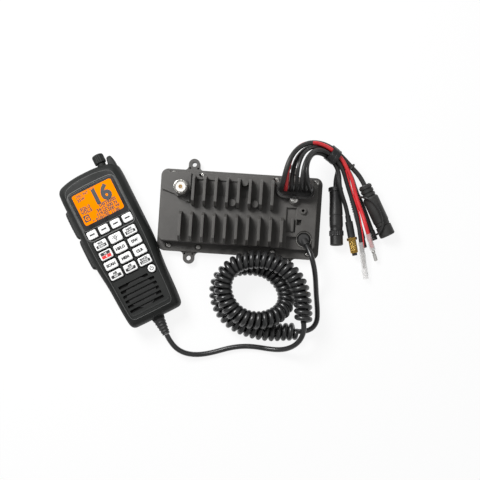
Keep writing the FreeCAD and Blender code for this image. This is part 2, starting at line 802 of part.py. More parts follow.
def buildAntennaSocket():
    """UHF-size socket: threaded barrel with a relieved foot, insulator, split contact and nut."""
    inner = "(barrel_radius - barrel_wall)"
    foot = "(nut_height + barrel_foot_gap)"
    top = "(barrel_length - insulator_drop)"
    hole = "(contact_radius + fit_gap / 2)"
    shell = turned("antenna_socket_shell", [
        ("0", "-shank_length"), ("shank_radius", "-shank_length"), ("shank_radius", "0"),
        ("barrel_foot_radius", "0"), ("barrel_foot_radius", foot), ("barrel_radius", foot),
        ("barrel_radius", "barrel_length - barrel_chamfer"),
        ("barrel_radius - barrel_chamfer", "barrel_length"), (inner, "barrel_length"),
        (inner, "barrel_floor"), ("0", "barrel_floor")])
    place(shell, "socket_x", "socket_y", platformTop)
    insulator = turned("antenna_socket_insulator", [
        (hole, "barrel_floor"), (f"{inner} - fit_gap / 2", "barrel_floor"),
        (f"{inner} - fit_gap / 2", top), (hole, top)])
    place(insulator, "socket_x", "socket_y", platformTop)
    contact = turned("antenna_socket_contact", [
        ("0", "barrel_floor"), ("contact_radius", "barrel_floor"),
        ("contact_radius", f"{top} + contact_proud"), ("contact_bore", f"{top} + contact_proud"),
        ("contact_bore", "contact_bore_floor"), ("0", "contact_bore_floor")])
    place(contact, "socket_x", "socket_y", platformTop)
    nut = newBody("antenna_socket_nut")
    sketch = newSketch(nut)
    polygon(sketch, [(f"nut_radius * cos({a} deg)", f"nut_radius * sin({a} deg)")
                     for a in range(0, 360, 60)])
    pad(nut, sketch, "nut_height")
    sketch = newSketch(nut, offset="nut_height")
    disc(sketch, "0", "0", "barrel_foot_radius + fit_gap / 2")
    pocket(nut, sketch, "nut_height")
    place(nut, "socket_x", "socket_y", platformTop)


def buildGlands():
    """Moulded insert of the lead gland, and the ring and elbow of the microphone cord."""
    body = newBody("lead_gland_grommet")
    sketch = newSketch(body, offset=f"{leadBossTop} - lead_recess")
    stadium(sketch, "lead_x", leadY, "lead_boss_length - lead_boss_wall * 2 - fit_gap * 2",
            "lead_boss_width - lead_boss_wall * 2 - fit_gap * 2")
    pad(body, sketch, "lead_recess - lead_groove")
    sketch = newSketch(body, offset=f"{leadBossTop} - lead_groove - 0.5")
    stadium(sketch, "lead_x", leadY, "lead_boss_length - lead_boss_wall * 2 - 1.6",
            "lead_boss_width - lead_boss_wall * 2 - 4")
    pad(body, sketch, "lead_groove + 0.5")
    sketch = newSketch(body, offset=leadBossTop)
    disc(sketch, "lead_x - gland_screw_offset", glandScrewY, "gland_screw_radius + key_gap")
    pocket(body, sketch, "lead_recess")

    floor = f"{micFloor} - mic_hole_depth"
    outer = "(mic_hole_radius - fit_gap)"
    inner = "(mic_hole_radius - fit_gap - mic_ring_wall)"
    ring = turned("mic_gland_ring", [
        (inner, "0"), (outer, "0"), (outer, "mic_ring_height - 0.4"),
        (f"{outer} - 0.4", "mic_ring_height"), (inner, "mic_ring_height")])
    place(ring, "mic_x", micY, floor)


# ---------------------------------------------------------------- cords and their plugs
# Route of the microphone cord from the transceiver to the coil.
runRoute = [(78.5, -32.1, 22.1), (81.4, -37.8, 26.3), (85.1, -46.6, 29.2), (88.3, -56.6, 27.4),
            (90.7, -66.4, 21.4), (92.4, -76.2, 14.2), (93.9, -86.0, 8.0), (95.6, -96.0, 4.6),
            (97.0, -106.6, 4.3), (97.2, -117.2, 5.6), (92.4, -125.6, 8.6), (84.4, -129.61, 10.6),
            (75.4, -130.4, 10.6)]
# Route of the coil: one turn on the floor, a ramp, one turn on top of it.
coilRoute = [(75.4, -130.4, 10.6), (64.0, -131.4, 10.6), (51.8, -132.8, 10.6), (39.0, -133.6, 10.6),
             (26.0, -132.2, 10.6), (12.2, -129.0, 10.6), (-1.2, -122.9, 10.6), (-11.4, -112.9, 10.6),
             (-17.6, -100.6, 10.6), (-19.6, -87.2, 10.6), (-16.6, -74.4, 10.6), (-8.4, -65.2, 10.6),
             (3.4, -60.6, 10.6), (16.5, -59.4, 10.6), (29.4, -60.0, 10.6), (40.4, -64.4, 10.6),
             (50.8, -72.4, 10.6), (57.6, -82.0, 10.8), (60.4, -92.4, 12.6), (58.6, -102.8, 17.0),
             (52.4, -111.0, 22.8), (43.0, -117.0, 28.4), (30.2, -120.6, 31.6), (16.6, -119.9, 32.2),
             (5.2, -115.0, 32.2), (-4.0, -107.0, 32.2), (-10.4, -96.6, 32.2), (-13.0, -85.0, 32.2),
             (-11.4, -72.8, 32.2), (-4.6, -62.6, 32.2), (5.8, -55.8, 32.2), (18.4, -52.4, 32.2),
             (31.4, -51.6, 32.2), (44.2, -54.2, 32.2), (56.4, -60.0, 32.2), (66.8, -69.2, 32.2),
             (74.0, -81.0, 32.2), (77.6, -94.0, 32.2), (79.0, -107.0, 32.2), (80.4, -119.6, 32.0)]
# Route of the tail, from the end of the coil to the boot of the handset.
tailRoute = [(80.4, -119.6, 32.0), (81.3, -127.7, 31.87), (79.6, -136.4, 29.6), (74.4, -144.6, 23.8),
             (65.6, -150.6, 15.6), (54.2, -153.2, 8.4), (41.2, -152.8, 4.4), (27.6, -151.4, 3.6),
             (13.4, -151.6, 3.5), (-1.8, -154.6, 3.5), (-16.8, -160.0, 3.5), (-31.4, -164.2, 4.0),
             (-45.4, -165.4, 6.0), (-58.0, -162.2, 10.4), (-68.46, -153.6, 14.0), (-74.58, -143.17, 14.0)]


def path(points):
    """Straight runs joined by tangent arcs: each arc takes 0.45 of the shorter run beside it."""
    corners = [Vector(*p) for p in points]
    edges = []
    radii = []
    start = corners[0]
    for before, corner, after in zip(corners, corners[1:], corners[2:]):
        inward = corner - before
        outward = after - corner
        cut = 0.45 * min(inward.Length, outward.Length)
        turn = inward.getAngle(outward)
        radius = cut / math.tan(turn / 2)
        radii.append(radius)
        inward.normalize()
        outward.normalize()
        entry = corner - inward * cut
        leave = corner + outward * cut
        centreLine = outward - inward
        centreLine.normalize()
        middle = corner + centreLine * (radius / math.cos(turn / 2) - radius)
        edges.append(Part.LineSegment(start, entry).toShape())
        edges.append(Part.Arc(entry, middle, leave).toShape())
        start = leave
    edges.append(Part.LineSegment(start, corners[-1]).toShape())
    return Part.Wire(edges), radii


def tube(name, points, diameter):
    """A plain round cord along its path, checked against section times length."""
    spine, radii = path(points)
    radius = number(diameter) / 2
    section = Part.Circle(Vector(*points[0]), Vector(*points[1]) - Vector(*points[0]), radius)
    shape = spine.makePipeShell([Part.Wire(section.toShape())], True, False)
    solid = Part.Solid(Part.Shell(shape.Faces)) if not shape.Solids else shape.Solids[0]
    expected = math.pi * radius ** 2 * spine.Length
    print(f"{name}: length {spine.Length:.1f}, smallest radius {min(radii):.1f}, "
          f"radii {[round(r) for r in radii]}, volume ratio {solid.Volume / expected:.4f}")
    item = doc.addObject("Part::Feature", name)
    item.Shape = solid
    item.Label = name
    subparts.append(item)
    return item


def lay(body, start, end):
    """Turn a body made along +Z to run from one point towards another."""
    direction = Vector(*end) - Vector(*start)
    body.Placement = Placement(Vector(*start), Rotation(Vector(0, 0, 1), direction))


def buildMicElbow():
    """Rubber insert in the ring, with the slanting elbow that the cord leaves."""
    inner = "(mic_hole_radius - fit_gap * 2 - mic_ring_wall)"
    body = turned("mic_gland_grommet", [
        ("0", "0"), (inner, "0"), (inner, "mic_dome_height - 2.5"), (f"{inner} - 2.5", "mic_dome_height"),
        ("0", "mic_dome_height")])
    place(body, "mic_x", micY, f"{micFloor} - mic_hole_depth")
    elbow = doc.addObject("Part::Cylinder", "mic_elbow")
    elbow.setExpression("Radius", bound("mic_cord / 2 + elbow_wall"))
    exitPoint = Vector(*runRoute[0])
    direction = Vector(*runRoute[1]) - exitPoint
    direction.normalize()
    elbow.setExpression("Height", bound("elbow_length"))
    heel = exitPoint - direction * number("elbow_length")
    elbow.Placement = Placement(heel, Rotation(Vector(0, 0, 1), direction))
    subparts.remove(body)
    body.Label = "mic_gland_insert"
    joined = doc.addObject("Part::MultiFuse", "mic_gland_grommet_joined")
    joined.Shapes = [body, elbow]
    joined.Label = "mic_gland_grommet"
    subparts.append(joined)
    doc.recompute()


# Stations of the middle of the lead bundle, from the gland through the tape.
gatherStations = [(61.5, 28.4, 31.0), (61.5, 28.4, 42.0), (61.5, 31.8, 53.0), (61.3, 40.6, 60.4),
                  (62.8, 53.0, 61.4), (68.0, 66.0, 52.8), (77.5, 75.6, 40.8), (92.0, 76.8, 29.8),
                  (107.4, 67.6, 23.2)]
# Each connector: where its lead ends and it begins, and a point that it runs towards.
plugAxes = {
    "plug_body": ((108.0, 38.1, 8.6), (113.6, -28.9, 8.6)),
    "coax_plug": ((124.0, 6.5, 9.2), (135.8, -39.5, 6.6)),
    "slim_plug": ((127.7, 29.0, 6.0), (149.0, -35.0, 3.7)),
    "joint_body": ((140.2, 42.0, 14.0), (171.8, -14.2, 9.3)),
    "capped_plug": ((134.7, 30.8, 4.6), (157.7, -21.4, 4.6)),
    "red_terminal": ((148.2, -12.7, 13.4), (160.8, -43.5, 4.8)),
    "black_terminal": ((141.1, -23.0, 10.2), (150.4, -64.4, 4.6)),
}
# Each lead: its seat in the gland row, its lane in the bundle (outward, upward), its connector,
# its free points and the length of its last run.
leads = {
    "lead_joint": (3.0, 1.0, 0.0, "thick_lead", "joint_body", 10.0, [(123.6, 60.6, 18.6)]),
    "lead_red": (2.0, 0.5, 0.866, "power_lead", "red_terminal", 10.0, [
        (118.0, 59.0, 22.4), (125.4, 47.2, 18.0), (129.6, 34.6, 15.2), (134.4, 21.6, 14.2),
        (140.2, 8.8, 14.2)]),
    "lead_capped": (1.0, 0.5, -0.866, "coax_lead", "capped_plug", 9.0, [
        (118.6, 61.0, 12.8), (126.0, 50.6, 8.2)]),
    "lead_slim": (0.0, 0.0, 0.0, "thin_lead", "slim_plug", 9.0, [
        (116.4, 57.6, 16.6), (121.6, 47.6, 11.2)]),
    "lead_black": (-1.0, -0.5, 0.866, "power_lead", "black_terminal", 10.0, [
        (114.2, 55.6, 22.0), (119.4, 42.6, 17.8), (125.2, 28.8, 14.0), (131.0, 15.6, 12.6),
        (135.6, 2.0, 12.2)]),
    "lead_plug": (-2.0, -0.5, -0.866, "thick_lead", "plug_body", 8.0, [
        (109.6, 58.4, 14.4)]),
    "lead_coax": (-3.0, -1.0, 0.0, "coax_lead", "coax_plug", 9.0, [
        (110.2, 51.0, 21.4), (111.2, 38.4, 20.8), (115.6, 26.6, 18.2)]),
}


def plugDirection(name):
    """Unit vector along a connector."""
    start, aim = plugAxes[name]
    return (Vector(*aim) - Vector(*start)).normalize()


def bundleSides(index):
    """Outward and upward side of the bundle at a station, square to the mean of the runs beside it."""
    centres = [Vector(*station) for station in gatherStations]
    runs = [(after - before).normalize() for before, after in zip(centres, centres[1:])]
    near = runs[max(index - 1, 0):index + 1]
    mean = (near[0] + near[-1]).normalize()
    side = Vector(-mean.y, mean.x, 0) if abs(mean.z) < 0.999 else Vector(-1, 0, 0)
    side.normalize()
    return side, mean.cross(side)


def leadRoute(name):
    """Centre line of a lead: from the row of the gland into its lane, through the tape and on."""
    seat, outward, upward, _, plug, lastRun, tail = leads[name]
    pitch = number("lane_pitch")
    points = []
    for index, station in enumerate(gatherStations):
        share = min(1.0, max(0.0, (index - 1) / 5))
        side, lift = bundleSides(index)
        across = seat * (1 - share) + outward * share
        offset = side * across + lift * (upward * min(1.0, share * 2))
        points.append(tuple(Vector(*station) + offset * pitch))
    end = Vector(*plugAxes[plug][0])
    return points + tail + [tuple(end - plugDirection(plug) * lastRun), tuple(end)]


def buildTape():
    """Black tape round the bundle, on its straight stretch."""
    start, end = Vector(*gatherStations[-2]), Vector(*gatherStations[-1])
    inner = "(lane_pitch + thick_lead / 2 + tape_gap)"
    body = turned("tape_wrap", [(inner, "0"), (f"{inner} + tape_wall", "0"),
                                (f"{inner} + tape_wall", "tape_length"), (inner, "tape_length")])
    direction = (end - start).normalize()
    middle = Vector(*gatherStations[-2]) * 0.42 + end * 0.58
    lay(body, tuple(middle - direction * (number("tape_length") / 2)), tuple(end))


# Strap that ties the cap to its plug.
strapRoute = [(136.0, 27.7, 8.1), (136.0, 27.7, 13.0), (136.6, 27.4, 18.4), (139.8, 26.6, 23.4),
              (145.2, 24.6, 26.0), (151.2, 20.2, 26.0), (156.6, 14.0, 24.8), (160.6, 6.8, 23.4),
              (163.0, -1.0, 22.4), (162.8, -8.0, 20.4), (159.4, -12.8, 16.8), (155.8, -14.6, 12.4),
              (154.5, -14.9, 8.6)]


def ribbedRoot(radius, count, pitch, start):
    """Raised ribs of a moulded lead entry: for each, a groove, a slope and a flat crest."""
    profile = []
    for i in range(int(number(count))):
        low = f"({start} + {pitch} * {i})"
        profile += [(f"{radius} - 1", low), (radius, f"{low} + {pitch} * 0.15"),
                    (radius, f"{low} + {pitch} * 0.75"), (f"{radius} - 1", f"{low} + {pitch} * 0.9")]
    return profile


def buildRoundPlug():
    """Round screw plug with its loose coupling ring."""
    core, body = "plug_core_radius", "plug_radius"
    ringStart = "plug_ring_start"
    ringEnd = "(plug_ring_start + plug_ring_length)"
    plug = turned("plug_body", [
        ("0", "0"), ("plug_ring_radius - 1", "0"), ("plug_ring_radius", "1"),
        ("plug_ring_radius", "plug_cap_length"), (f"{body} - 0.5", "plug_cap_length + 0.6"),
        (f"{body} - 0.6", "plug_swell / 2"), (body, "plug_swell"), (body, "plug_groove"),
        (f"{body} - 0.4", "plug_groove + 0.3"), (f"{body} - 0.4", "plug_groove + 1.5"),
        (body, "plug_groove + 1.8"), (body, "plug_shoulder"), (f"{core} + 0.7", "plug_neck_start"),
        (f"{core} + 0.7", f"{ringStart} - spin_end_gap"), (core, f"{ringStart} - spin_end_gap"),
        (core, f"{ringEnd} + spin_end_gap"), (f"{body} - 0.3", f"{ringEnd} + spin_end_gap"),
        (f"{body} - 0.3", "plug_length - 1"), (f"{body} - 1.3", "plug_length"),
        (f"{body} - 2.3", "plug_length"), (f"{body} - 2.3", "plug_length - plug_mouth_depth"),
        ("0", "plug_length - plug_mouth_depth")])
    lay(plug, *plugAxes["plug_body"])
    ring = turned("plug_ring", [
        (f"{core} + spin_clearance", ringStart), ("plug_ring_radius - 0.5", ringStart),
        ("plug_ring_radius", f"{ringStart} + 0.5"), ("plug_ring_radius", f"{ringEnd} - 0.5"),
        ("plug_ring_radius - 0.5", ringEnd), (f"{core} + spin_clearance", ringEnd)])
    lay(ring, *plugAxes["plug_body"])


def buildCoaxPlug():
    """Coaxial plug: sleeved body on a slim core, with a flanged brass nut that turns on it."""
    core, clamp, sleeve = "coax_core_radius", "coax_clamp_radius", "coax_sleeve_radius"
    start = "(coax_nut_start + spin_end_gap)"
    end = f"({start} + coax_nut_length)"
    coax = turned("coax_plug", [
        ("0", "0"), (clamp, "0"), (clamp, "coax_clamp_length"), (sleeve, "coax_clamp_length + 0.6"),
        (sleeve, "coax_nut_start"), (core, "coax_nut_start"), (core, f"{end} + spin_end_gap"),
        (f"{core} + 0.5", f"{end} + spin_end_gap"),
        (f"{core} + 0.2", "coax_nut_start + coax_nut_length + coax_tip_length"),
        ("0", "coax_nut_start + coax_nut_length + coax_tip_length")])
    lay(coax, *plugAxes["coax_plug"])
    nut = turned("coax_nut", [
        (f"{core} + spin_clearance", start), ("coax_flange_radius", start),
        ("coax_flange_radius", f"{start} + coax_flange_length"),
        ("coax_nut_radius", f"{start} + coax_flange_length"), ("coax_nut_radius", end),
        (f"{core} + spin_clearance", end)])
    lay(nut, *plugAxes["coax_plug"])


def buildPlugs():
    """Turned bodies of the moulded connectors, each laid along its axis on the floor."""
    radius, root = "slim_radius", "slim_rib_pitch"
    slim = turned("slim_plug", [("0", "0"), (f"{radius} - 1.2", "0")]
                  + ribbedRoot(radius, "slim_rib_count", root, "2") + [
        (f"{radius} - 0.3", "slim_rib_pitch * slim_rib_count + 3"),
        (f"{radius} - 0.3", "slim_shoulder"), (f"{radius} - 1", "slim_shoulder + 1"),
        (f"{radius} - 1", "slim_length - 1"), (f"{radius} - 1.6", "slim_length"), ("0", "slim_length")])
    lay(slim, *plugAxes["slim_plug"])

    radius, seam = "joint_radius", "joint_seam"
    joint = turned("joint_body", [("0", "0"), (f"{radius} - 3", "0")]
                   + ribbedRoot("(joint_radius - 1.5)", "joint_rib_count", "joint_rib_pitch", "1") + [
        (f"{radius} - 1.2", "joint_shoulder - 1.8"), (radius, "joint_shoulder"), (radius, seam),
        (f"{radius} - 0.6", f"{seam} + 0.4"), (f"{radius} - 0.6", f"{seam} + 4.4"),
        (f"{radius} - 1.2", f"{seam} + 4.6"), (f"{radius} - 1.2", f"{seam} + 5.4"),
        (radius, f"{seam} + 5.6"), (radius, "joint_length - 1"), (f"{radius} - 1", "joint_length"),
        (f"{radius} - 2.5", "joint_length"), (f"{radius} - 2.5", "joint_length - joint_mouth_depth"),
        ("0", "joint_length - joint_mouth_depth")])
    lay(joint, *plugAxes["joint_body"])

    radius, start = "capped_radius", "(capped_length + cap_gap)"
    capped = turned("capped_plug", [
        ("0", "0"), (f"{radius} - 1.7", "0"), (f"{radius} - 1", "4"), (f"{radius} - 1.2", "4.4"),
        (f"{radius} - 0.6", "12"), (f"{radius} - 0.6", "capped_length"), ("0", "capped_length")])
    lay(capped, *plugAxes["capped_plug"])
    cap = turned("cap_shell", [
        ("0", start), (radius, start), (radius, f"{start} + cap_length - 1"),
        (f"{radius} - 0.8", f"{start} + cap_length"), ("0", f"{start} + cap_length")])
    lay(cap, *plugAxes["capped_plug"])
    subparts.remove(cap)
    strap = tube("cap_strap", strapRoute, "strap_diameter")
    subparts.remove(strap)
    joined = doc.addObject("Part::MultiFuse", "capped_plug_cap")
    joined.Shapes = [cap, strap]
    joined.Label = "capped_plug_cap"
    subparts.append(joined)


def buildTerminals():
    """Crimped ends of the two power leads, each inside a clear sleeve."""
    seat, seatEnd = "terminal_seat_radius", "terminal_seat_length"
    crimp, tab, length = "red_crimp_radius", "red_tab_radius", "red_terminal_length"
    red = turned("red_terminal", [
        ("0", "0"), (seat, "0"), (seat, seatEnd), (tab, f"{seatEnd} + 0.6"), (tab, f"{length} - 14"),
        (crimp, f"{length} - 13"), (crimp, f"{length} - 9.5"), (f"{tab} - 0.9", f"{length} - 9"),
        (f"{tab} - 0.9", f"{length} - 7"), (tab, f"{length} - 6.5"), (tab, length), ("0", length)])
    lay(red, *plugAxes["red_terminal"])
    crimp, pin, length = "black_crimp_radius", "black_pin_radius", "black_terminal_length"
    black = turned("black_terminal", [
        ("0", "0"), (seat, "0"), (seat, seatEnd), (f"{pin} + 0.4", f"{seatEnd} + 0.6"),
        (f"{pin} + 0.4", f"{length} - 19"), (crimp, f"{length} - 18.4"), (crimp, f"{length} - 15"),
        (pin, f"{length} - 14"), (pin, f"{length} - 1"), (f"{pin} - 0.4", length), ("0", length)])
    lay(black, *plugAxes["black_terminal"])
    inner = "(sleeve_radius - sleeve_wall)"
    sleeves = []
    for colour in ("red", "black"):
        high = f"sleeve_gap + {colour}_sleeve_length"
        sleeve = turned(f"{colour}_terminal_sleeve", [
            (inner, "sleeve_gap"), ("sleeve_radius", "sleeve_gap"), ("sleeve_radius", high),
            (inner, high)])
        lay(sleeve, *plugAxes[f"{colour}_terminal"])
        subparts.remove(sleeve)
        sleeves.append(sleeve)
    both = doc.addObject("Part::Compound", "terminal_sleeves")
    both.Links = sleeves
    both.Label = "terminal_sleeves"
    subparts.append(both)


# ---------------------------------------------------------------- handset
def seatHandset(body, x="0", y="0", z="0", tilt=None):
    """Carry a piece from handset coordinates to its place beside the transceiver."""
    turn = "(handset_turn * 1 deg)"
    formulas = (f"handset_x + ({x}) * cos({turn}) - ({y}) * sin({turn})",
                f"handset_y + ({x}) * sin({turn}) + ({y}) * cos({turn})", z)
    if tilt is None:
        body.setExpression("Placement.Rotation.Angle", bound("handset_turn"))
    else:
        turnRound = Rotation(Vector(0, 0, 1), number("handset_turn"))
        body.Placement.Rotation = turnRound * Rotation(Vector(0, 0, 1), tilt)
    for axis, formula in zip("xyz", formulas):
        body.setExpression(f"Placement.Base.{axis}", bound(formula))
    doc.recompute()


def handsetOutline(inset):
    """Plan of the handset, drawn in by an inset: wide shoulders, narrow foot, arched top."""
    right = [(f"half_foot - {inset}", f"foot_y + {inset}"), (f"half_width - {inset}", "shoulder_y"),
             (f"half_width - {inset}", f"top_y - {inset}"),
             ("half_arch", f"top_y + arch_rise - {inset}")]
    return right + [(f"-({x})", y) for x, y in reversed(right)]


def buildShell(name, seat, depth, inset, upwards):
    """One half of the case: its plan at the seam, drafted towards the flat, with a cavity inside."""
    body = newBody(name)
    seam = newSketch(body, offset=seat)
    polygon(seam, handsetOutline("0"))
    pad(body, seam, depth, reverse=not upwards)
    topmost, lowest = number("top_y - 15"), number("foot_y + 15")

    def isCorner(edge):
        box = edge.BoundBox
        beside = min(abs(box.XMin), abs(box.XMax)) > number("half_arch + 4")
        return upright(edge) and beside and (box.YMax > topmost or box.YMin < lowest)
    block = roundEdges(body, isCorner, "outline_corner")
    seamLevel = number(seat)
    faces = block.Shape.Faces
    sides = [f"Face{i}" for i, face in enumerate(faces, start=1) if face.BoundBox.ZLength > 1]
    bottom = next(f"Face{i}" for i, face in enumerate(faces, start=1)
                  if face.BoundBox.ZLength < 1e-6 and abs(face.BoundBox.ZMin - seamLevel) < 1e-6)
    straight = body.Shape.Volume
    draft = body.newObject("PartDesign::Draft", f"{name}_draft")
    draft.Base = (block, sides)
    draft.NeutralPlane = (block, [bottom])
    draft.setExpression("Angle", bound(f"atan({inset} / ({depth}))"))
    body.Tip = draft
    doc.recompute()
    if body.Shape.Volume > straight:
        draft.Reversed = True
        doc.recompute()
    roundEdges(body, levelAt(f"{seat} + {depth}" if upwards else f"{seat} - ({depth})"), "face_round")
    cavity = newSketch(body, offset=seat)
    polygon(cavity, handsetOutline(f"({inset} + shell_wall)"))
    pocket(body, cavity, f"{depth} - shell_wall", reverse=upwards)
    roundEdges(body, isCorner, "outline_corner / 2")
    return body


keyColumns = ("-key_pitch_x", "0", "key_pitch_x")
keyRows = [f"key_top_y - key_pitch_y * {row}" for row in range(4)]
softColumns = [f"soft_pitch * {step}" for step in ("(-1.5)", "(-0.5)", "0.5", "1.5")]
ceiling = "(face_height - shell_wall)"
sideWellX = "(half_width - side_depth - side_travel - key_gap)"


def sideWells(sketch):
    for low, high in (("talk_low_y", "talk_high_y"), ("side_low_y", "side_high_y")):
        rectangle(sketch, f"-({sideWellX} + half_width + 8) / 2", f"({low} + {high}) / 2",
                  f"half_width + 8 - {sideWellX}", f"{high} - {low} + key_gap * 2")


def buildFrontShell():
    """Display half: bezel, lens recess, key wells, louvres, knob collar and guard."""
    body = buildShell("front_shell", "seam_height + seam_gap", "face_height - seam_height - seam_gap",
                      "face_inset", True)
    bezel = newSketch(body, offset="face_height - 0.6")
    low, high = "bezel_low_y", "(window_high_y + bezel_margin)"
    half = "(window_half + bezel_margin)"
    softRectangle(bezel, "0", f"({low} + {high}) / 2", f"2 * ({half} + bezel_wall)",
                  f"{high} - {low} + 2 * bezel_wall", "bezel_corner + bezel_wall")
    softRectangle(bezel, "0", f"({low} + {high}) / 2", f"2 * {half}", f"{high} - {low}", "bezel_corner")
    pad(body, bezel, "bezel_rise + 0.6")

    guard = newSketch(body, offset="seam_height + seam_gap")
    polygon(guard, [("guard_low_x", "guard_low_y"), ("guard_low_x + guard_width", "guard_low_y"),
                    ("guard_low_x + guard_width", "guard_high_y - 7"),
                    ("guard_low_x + guard_width - 3", "guard_high_y"), ("guard_low_x", "guard_high_y")])
    pad(body, guard, "guard_height")
    guardTop = number("seam_height + seam_gap + guard_height")
    roundEdges(body, lambda e: abs(e.BoundBox.ZMin - guardTop) < 1e-3 and e.BoundBox.ZLength < 1e-3
               and e.BoundBox.YMax > number("top_y"), "face_round / 2")

    collar = newSketch(body, "XZ_Plane", offset="-(top_y - 8)")
    disc(collar, "knob_x", "knob_z", "collar_radius")
    pad(body, collar, "collar_end_y - top_y + 8", reverse=True)
    bore = newSketch(body, "XZ_Plane", offset="-collar_end_y")
    disc(bore, "knob_x", "knob_z", "shaft_radius + shaft_clearance")
    pocket(body, bore, "shaft_length + 0.5 - knob_gap", reverse=True)

    recess = newSketch(body, offset="face_height")
    middle = "(window_low_y + window_high_y) / 2"
    softRectangle(recess, "0", middle, "2 * window_half", "window_high_y - window_low_y", "window_corner")
    pocket(body, recess, "lens_depth")
    opening = newSketch(body, offset="face_height")
    rectangle(opening, "0", middle, "2 * (window_half - lens_ledge)",
              "window_high_y - window_low_y - 2 * lens_ledge")
    disc(opening, "power_x", "power_y", "power_radius + key_gap")
    for slot in range(int(number("louvre_count"))):
        y = f"louvre_low_y + louvre_pitch * {slot}"
        if slot < number("louvre_count") - 1:
            stadium(opening, "louvre_x", y, "louvre_half * 2", "louvre_width")
        else:
            stadium(opening, "louvre_x - louvre_half * 0.12", y, "louvre_half * 1.76", "louvre_width")
    pocket(body, opening, "shell_wall + 0.5")
    for y in keyRows:
        wells = newSketch(body, offset="face_height")
        for x in keyColumns:
            softRectangle(wells, x, y, "key_width + key_gap * 2", "key_height + key_gap * 2", "key_corner")
        pocket(body, wells, "shell_wall + 0.5")
    wells = newSketch(body, offset="face_height")
    for x in softColumns:
        softRectangle(wells, x, "soft_y", "soft_width + key_gap * 2", "soft_height + key_gap * 2",
                      "key_corner")
    pocket(body, wells, "shell_wall + 0.5")

    wells = newSketch(body, offset="seam_height")
    sideWells(wells)
    pocket(body, wells, "side_high_z + key_gap - seam_height", reverse=True)
    relief = newSketch(body, "XZ_Plane", offset="2 - foot_y")
    disc(relief, "0", "boot_z", "boot_radius + 0.4")
    pocket(body, relief, "12.3")
    seatHandset(body)


def buildBackShell():
    """Back half: tapered tray with the side key wells and the collar of the boot."""
    body = buildShell("back_shell", "seam_height", "seam_height", "back_inset", False)
    collar = newSketch(body, "XZ_Plane", offset="-(foot_y + 10)")
    disc(collar, "0", "boot_z", "boot_radius + 0.3")
    pad(body, collar, "foot_y + 10 - boot_collar_y")
    wells = newSketch(body, offset="seam_height")
    sideWells(wells)
    pocket(body, wells, "seam_height - side_low_z + key_gap")
    seatHandset(body)


def buildDisplay():
    lens = newBody("display_lens")
    sketch = newSketch(lens, offset="face_height - lens_depth")
    softRectangle(sketch, "0", "(window_low_y + window_high_y) / 2", "2 * (window_half - fit_gap)",
                  "window_high_y - window_low_y - 2 * fit_gap", "window_corner")
    pad(lens, sketch, "lens_depth + lens_proud")
    seatHandset(lens)
    panel = newBody("lcd_panel")
    sketch = newSketch(panel, offset=f"{ceiling} - fit_gap - lcd_thickness")
    rectangle(sketch, "0", "(window_low_y + window_high_y) / 2", "2 * (window_half - lens_ledge / 2)",
              "window_high_y - window_low_y - lens_ledge")
    pad(panel, sketch, "lcd_thickness")
    seatHandset(panel)


def buildInnards():
    """Key mat, circuit board and loudspeaker, stacked under the face."""
    mat = newBody("key_mat")
    matX = "(key_pitch_x + key_width / 2)"
    bottom = "(key_top_y - key_pitch_y * 3 - key_height / 2 - 1)"
    top = "(soft_y + soft_height / 2 + 1)"
    sketch = newSketch(mat, offset=f"{ceiling} - fit_gap - lcd_thickness")
    polygon(sketch, [(f"-{matX}", bottom), ("power_x - power_radius", bottom),
                     ("power_x - power_radius", "power_y - power_radius"),
                     ("power_x + power_radius - 0.4", "power_y - power_radius"),
                     ("power_x + power_radius - 0.4", bottom), (matX, bottom),
                     ("soft_pitch * 1.5 + soft_width / 2", "key_top_y + key_height / 2 + 1"),
                     ("soft_pitch * 1.5 + soft_width / 2", top),
                     ("-(soft_pitch * 1.5 + soft_width / 2)", top),
                     ("-(soft_pitch * 1.5 + soft_width / 2)", "key_top_y + key_height / 2 + 1")])
    pad(mat, sketch, "lcd_thickness")
    seatHandset(mat)
    board = newBody("handset_board")
    sketch = newSketch(board, offset=f"{ceiling} - fit_gap * 2 - lcd_thickness - handset_board")
    rectangle(sketch, "0", f"({bottom} + window_high_y) / 2", f"2 * ({matX} - 0.5)",
              f"window_high_y - {bottom}")
    pad(board, sketch, "handset_board")
    seatHandset(board)
    speaker = newBody("speaker")
    sketch = newSketch(speaker, offset=f"{ceiling} - fit_gap - speaker_height")
    disc(sketch, "louvre_x", "louvre_low_y + louvre_pitch * 2.5", "speaker_radius * 0.7")
    pad(speaker, sketch, "speaker_height - 2")
    sketch = newSketch(speaker, offset=f"{ceiling} - fit_gap - 2")
    disc(sketch, "louvre_x", "louvre_low_y + louvre_pitch * 2.5", "speaker_radius")
    pad(speaker, sketch, "2")
    seatHandset(speaker)


def buildKey(name, x, y, width, height, rise):
    """A rounded key cap that stands in its well, just above the mat."""
    key = newBody(name)
    sketch = newSketch(key)
    softRectangle(sketch, "0", "0", width, height, "key_corner - key_gap")
    pad(key, sketch, f"key_drop + {rise}")
    roundEdges(key, levelAt(f"key_drop + {rise}"), "key_crown")
    seatHandset(key, x, y, "face_height - key_drop")


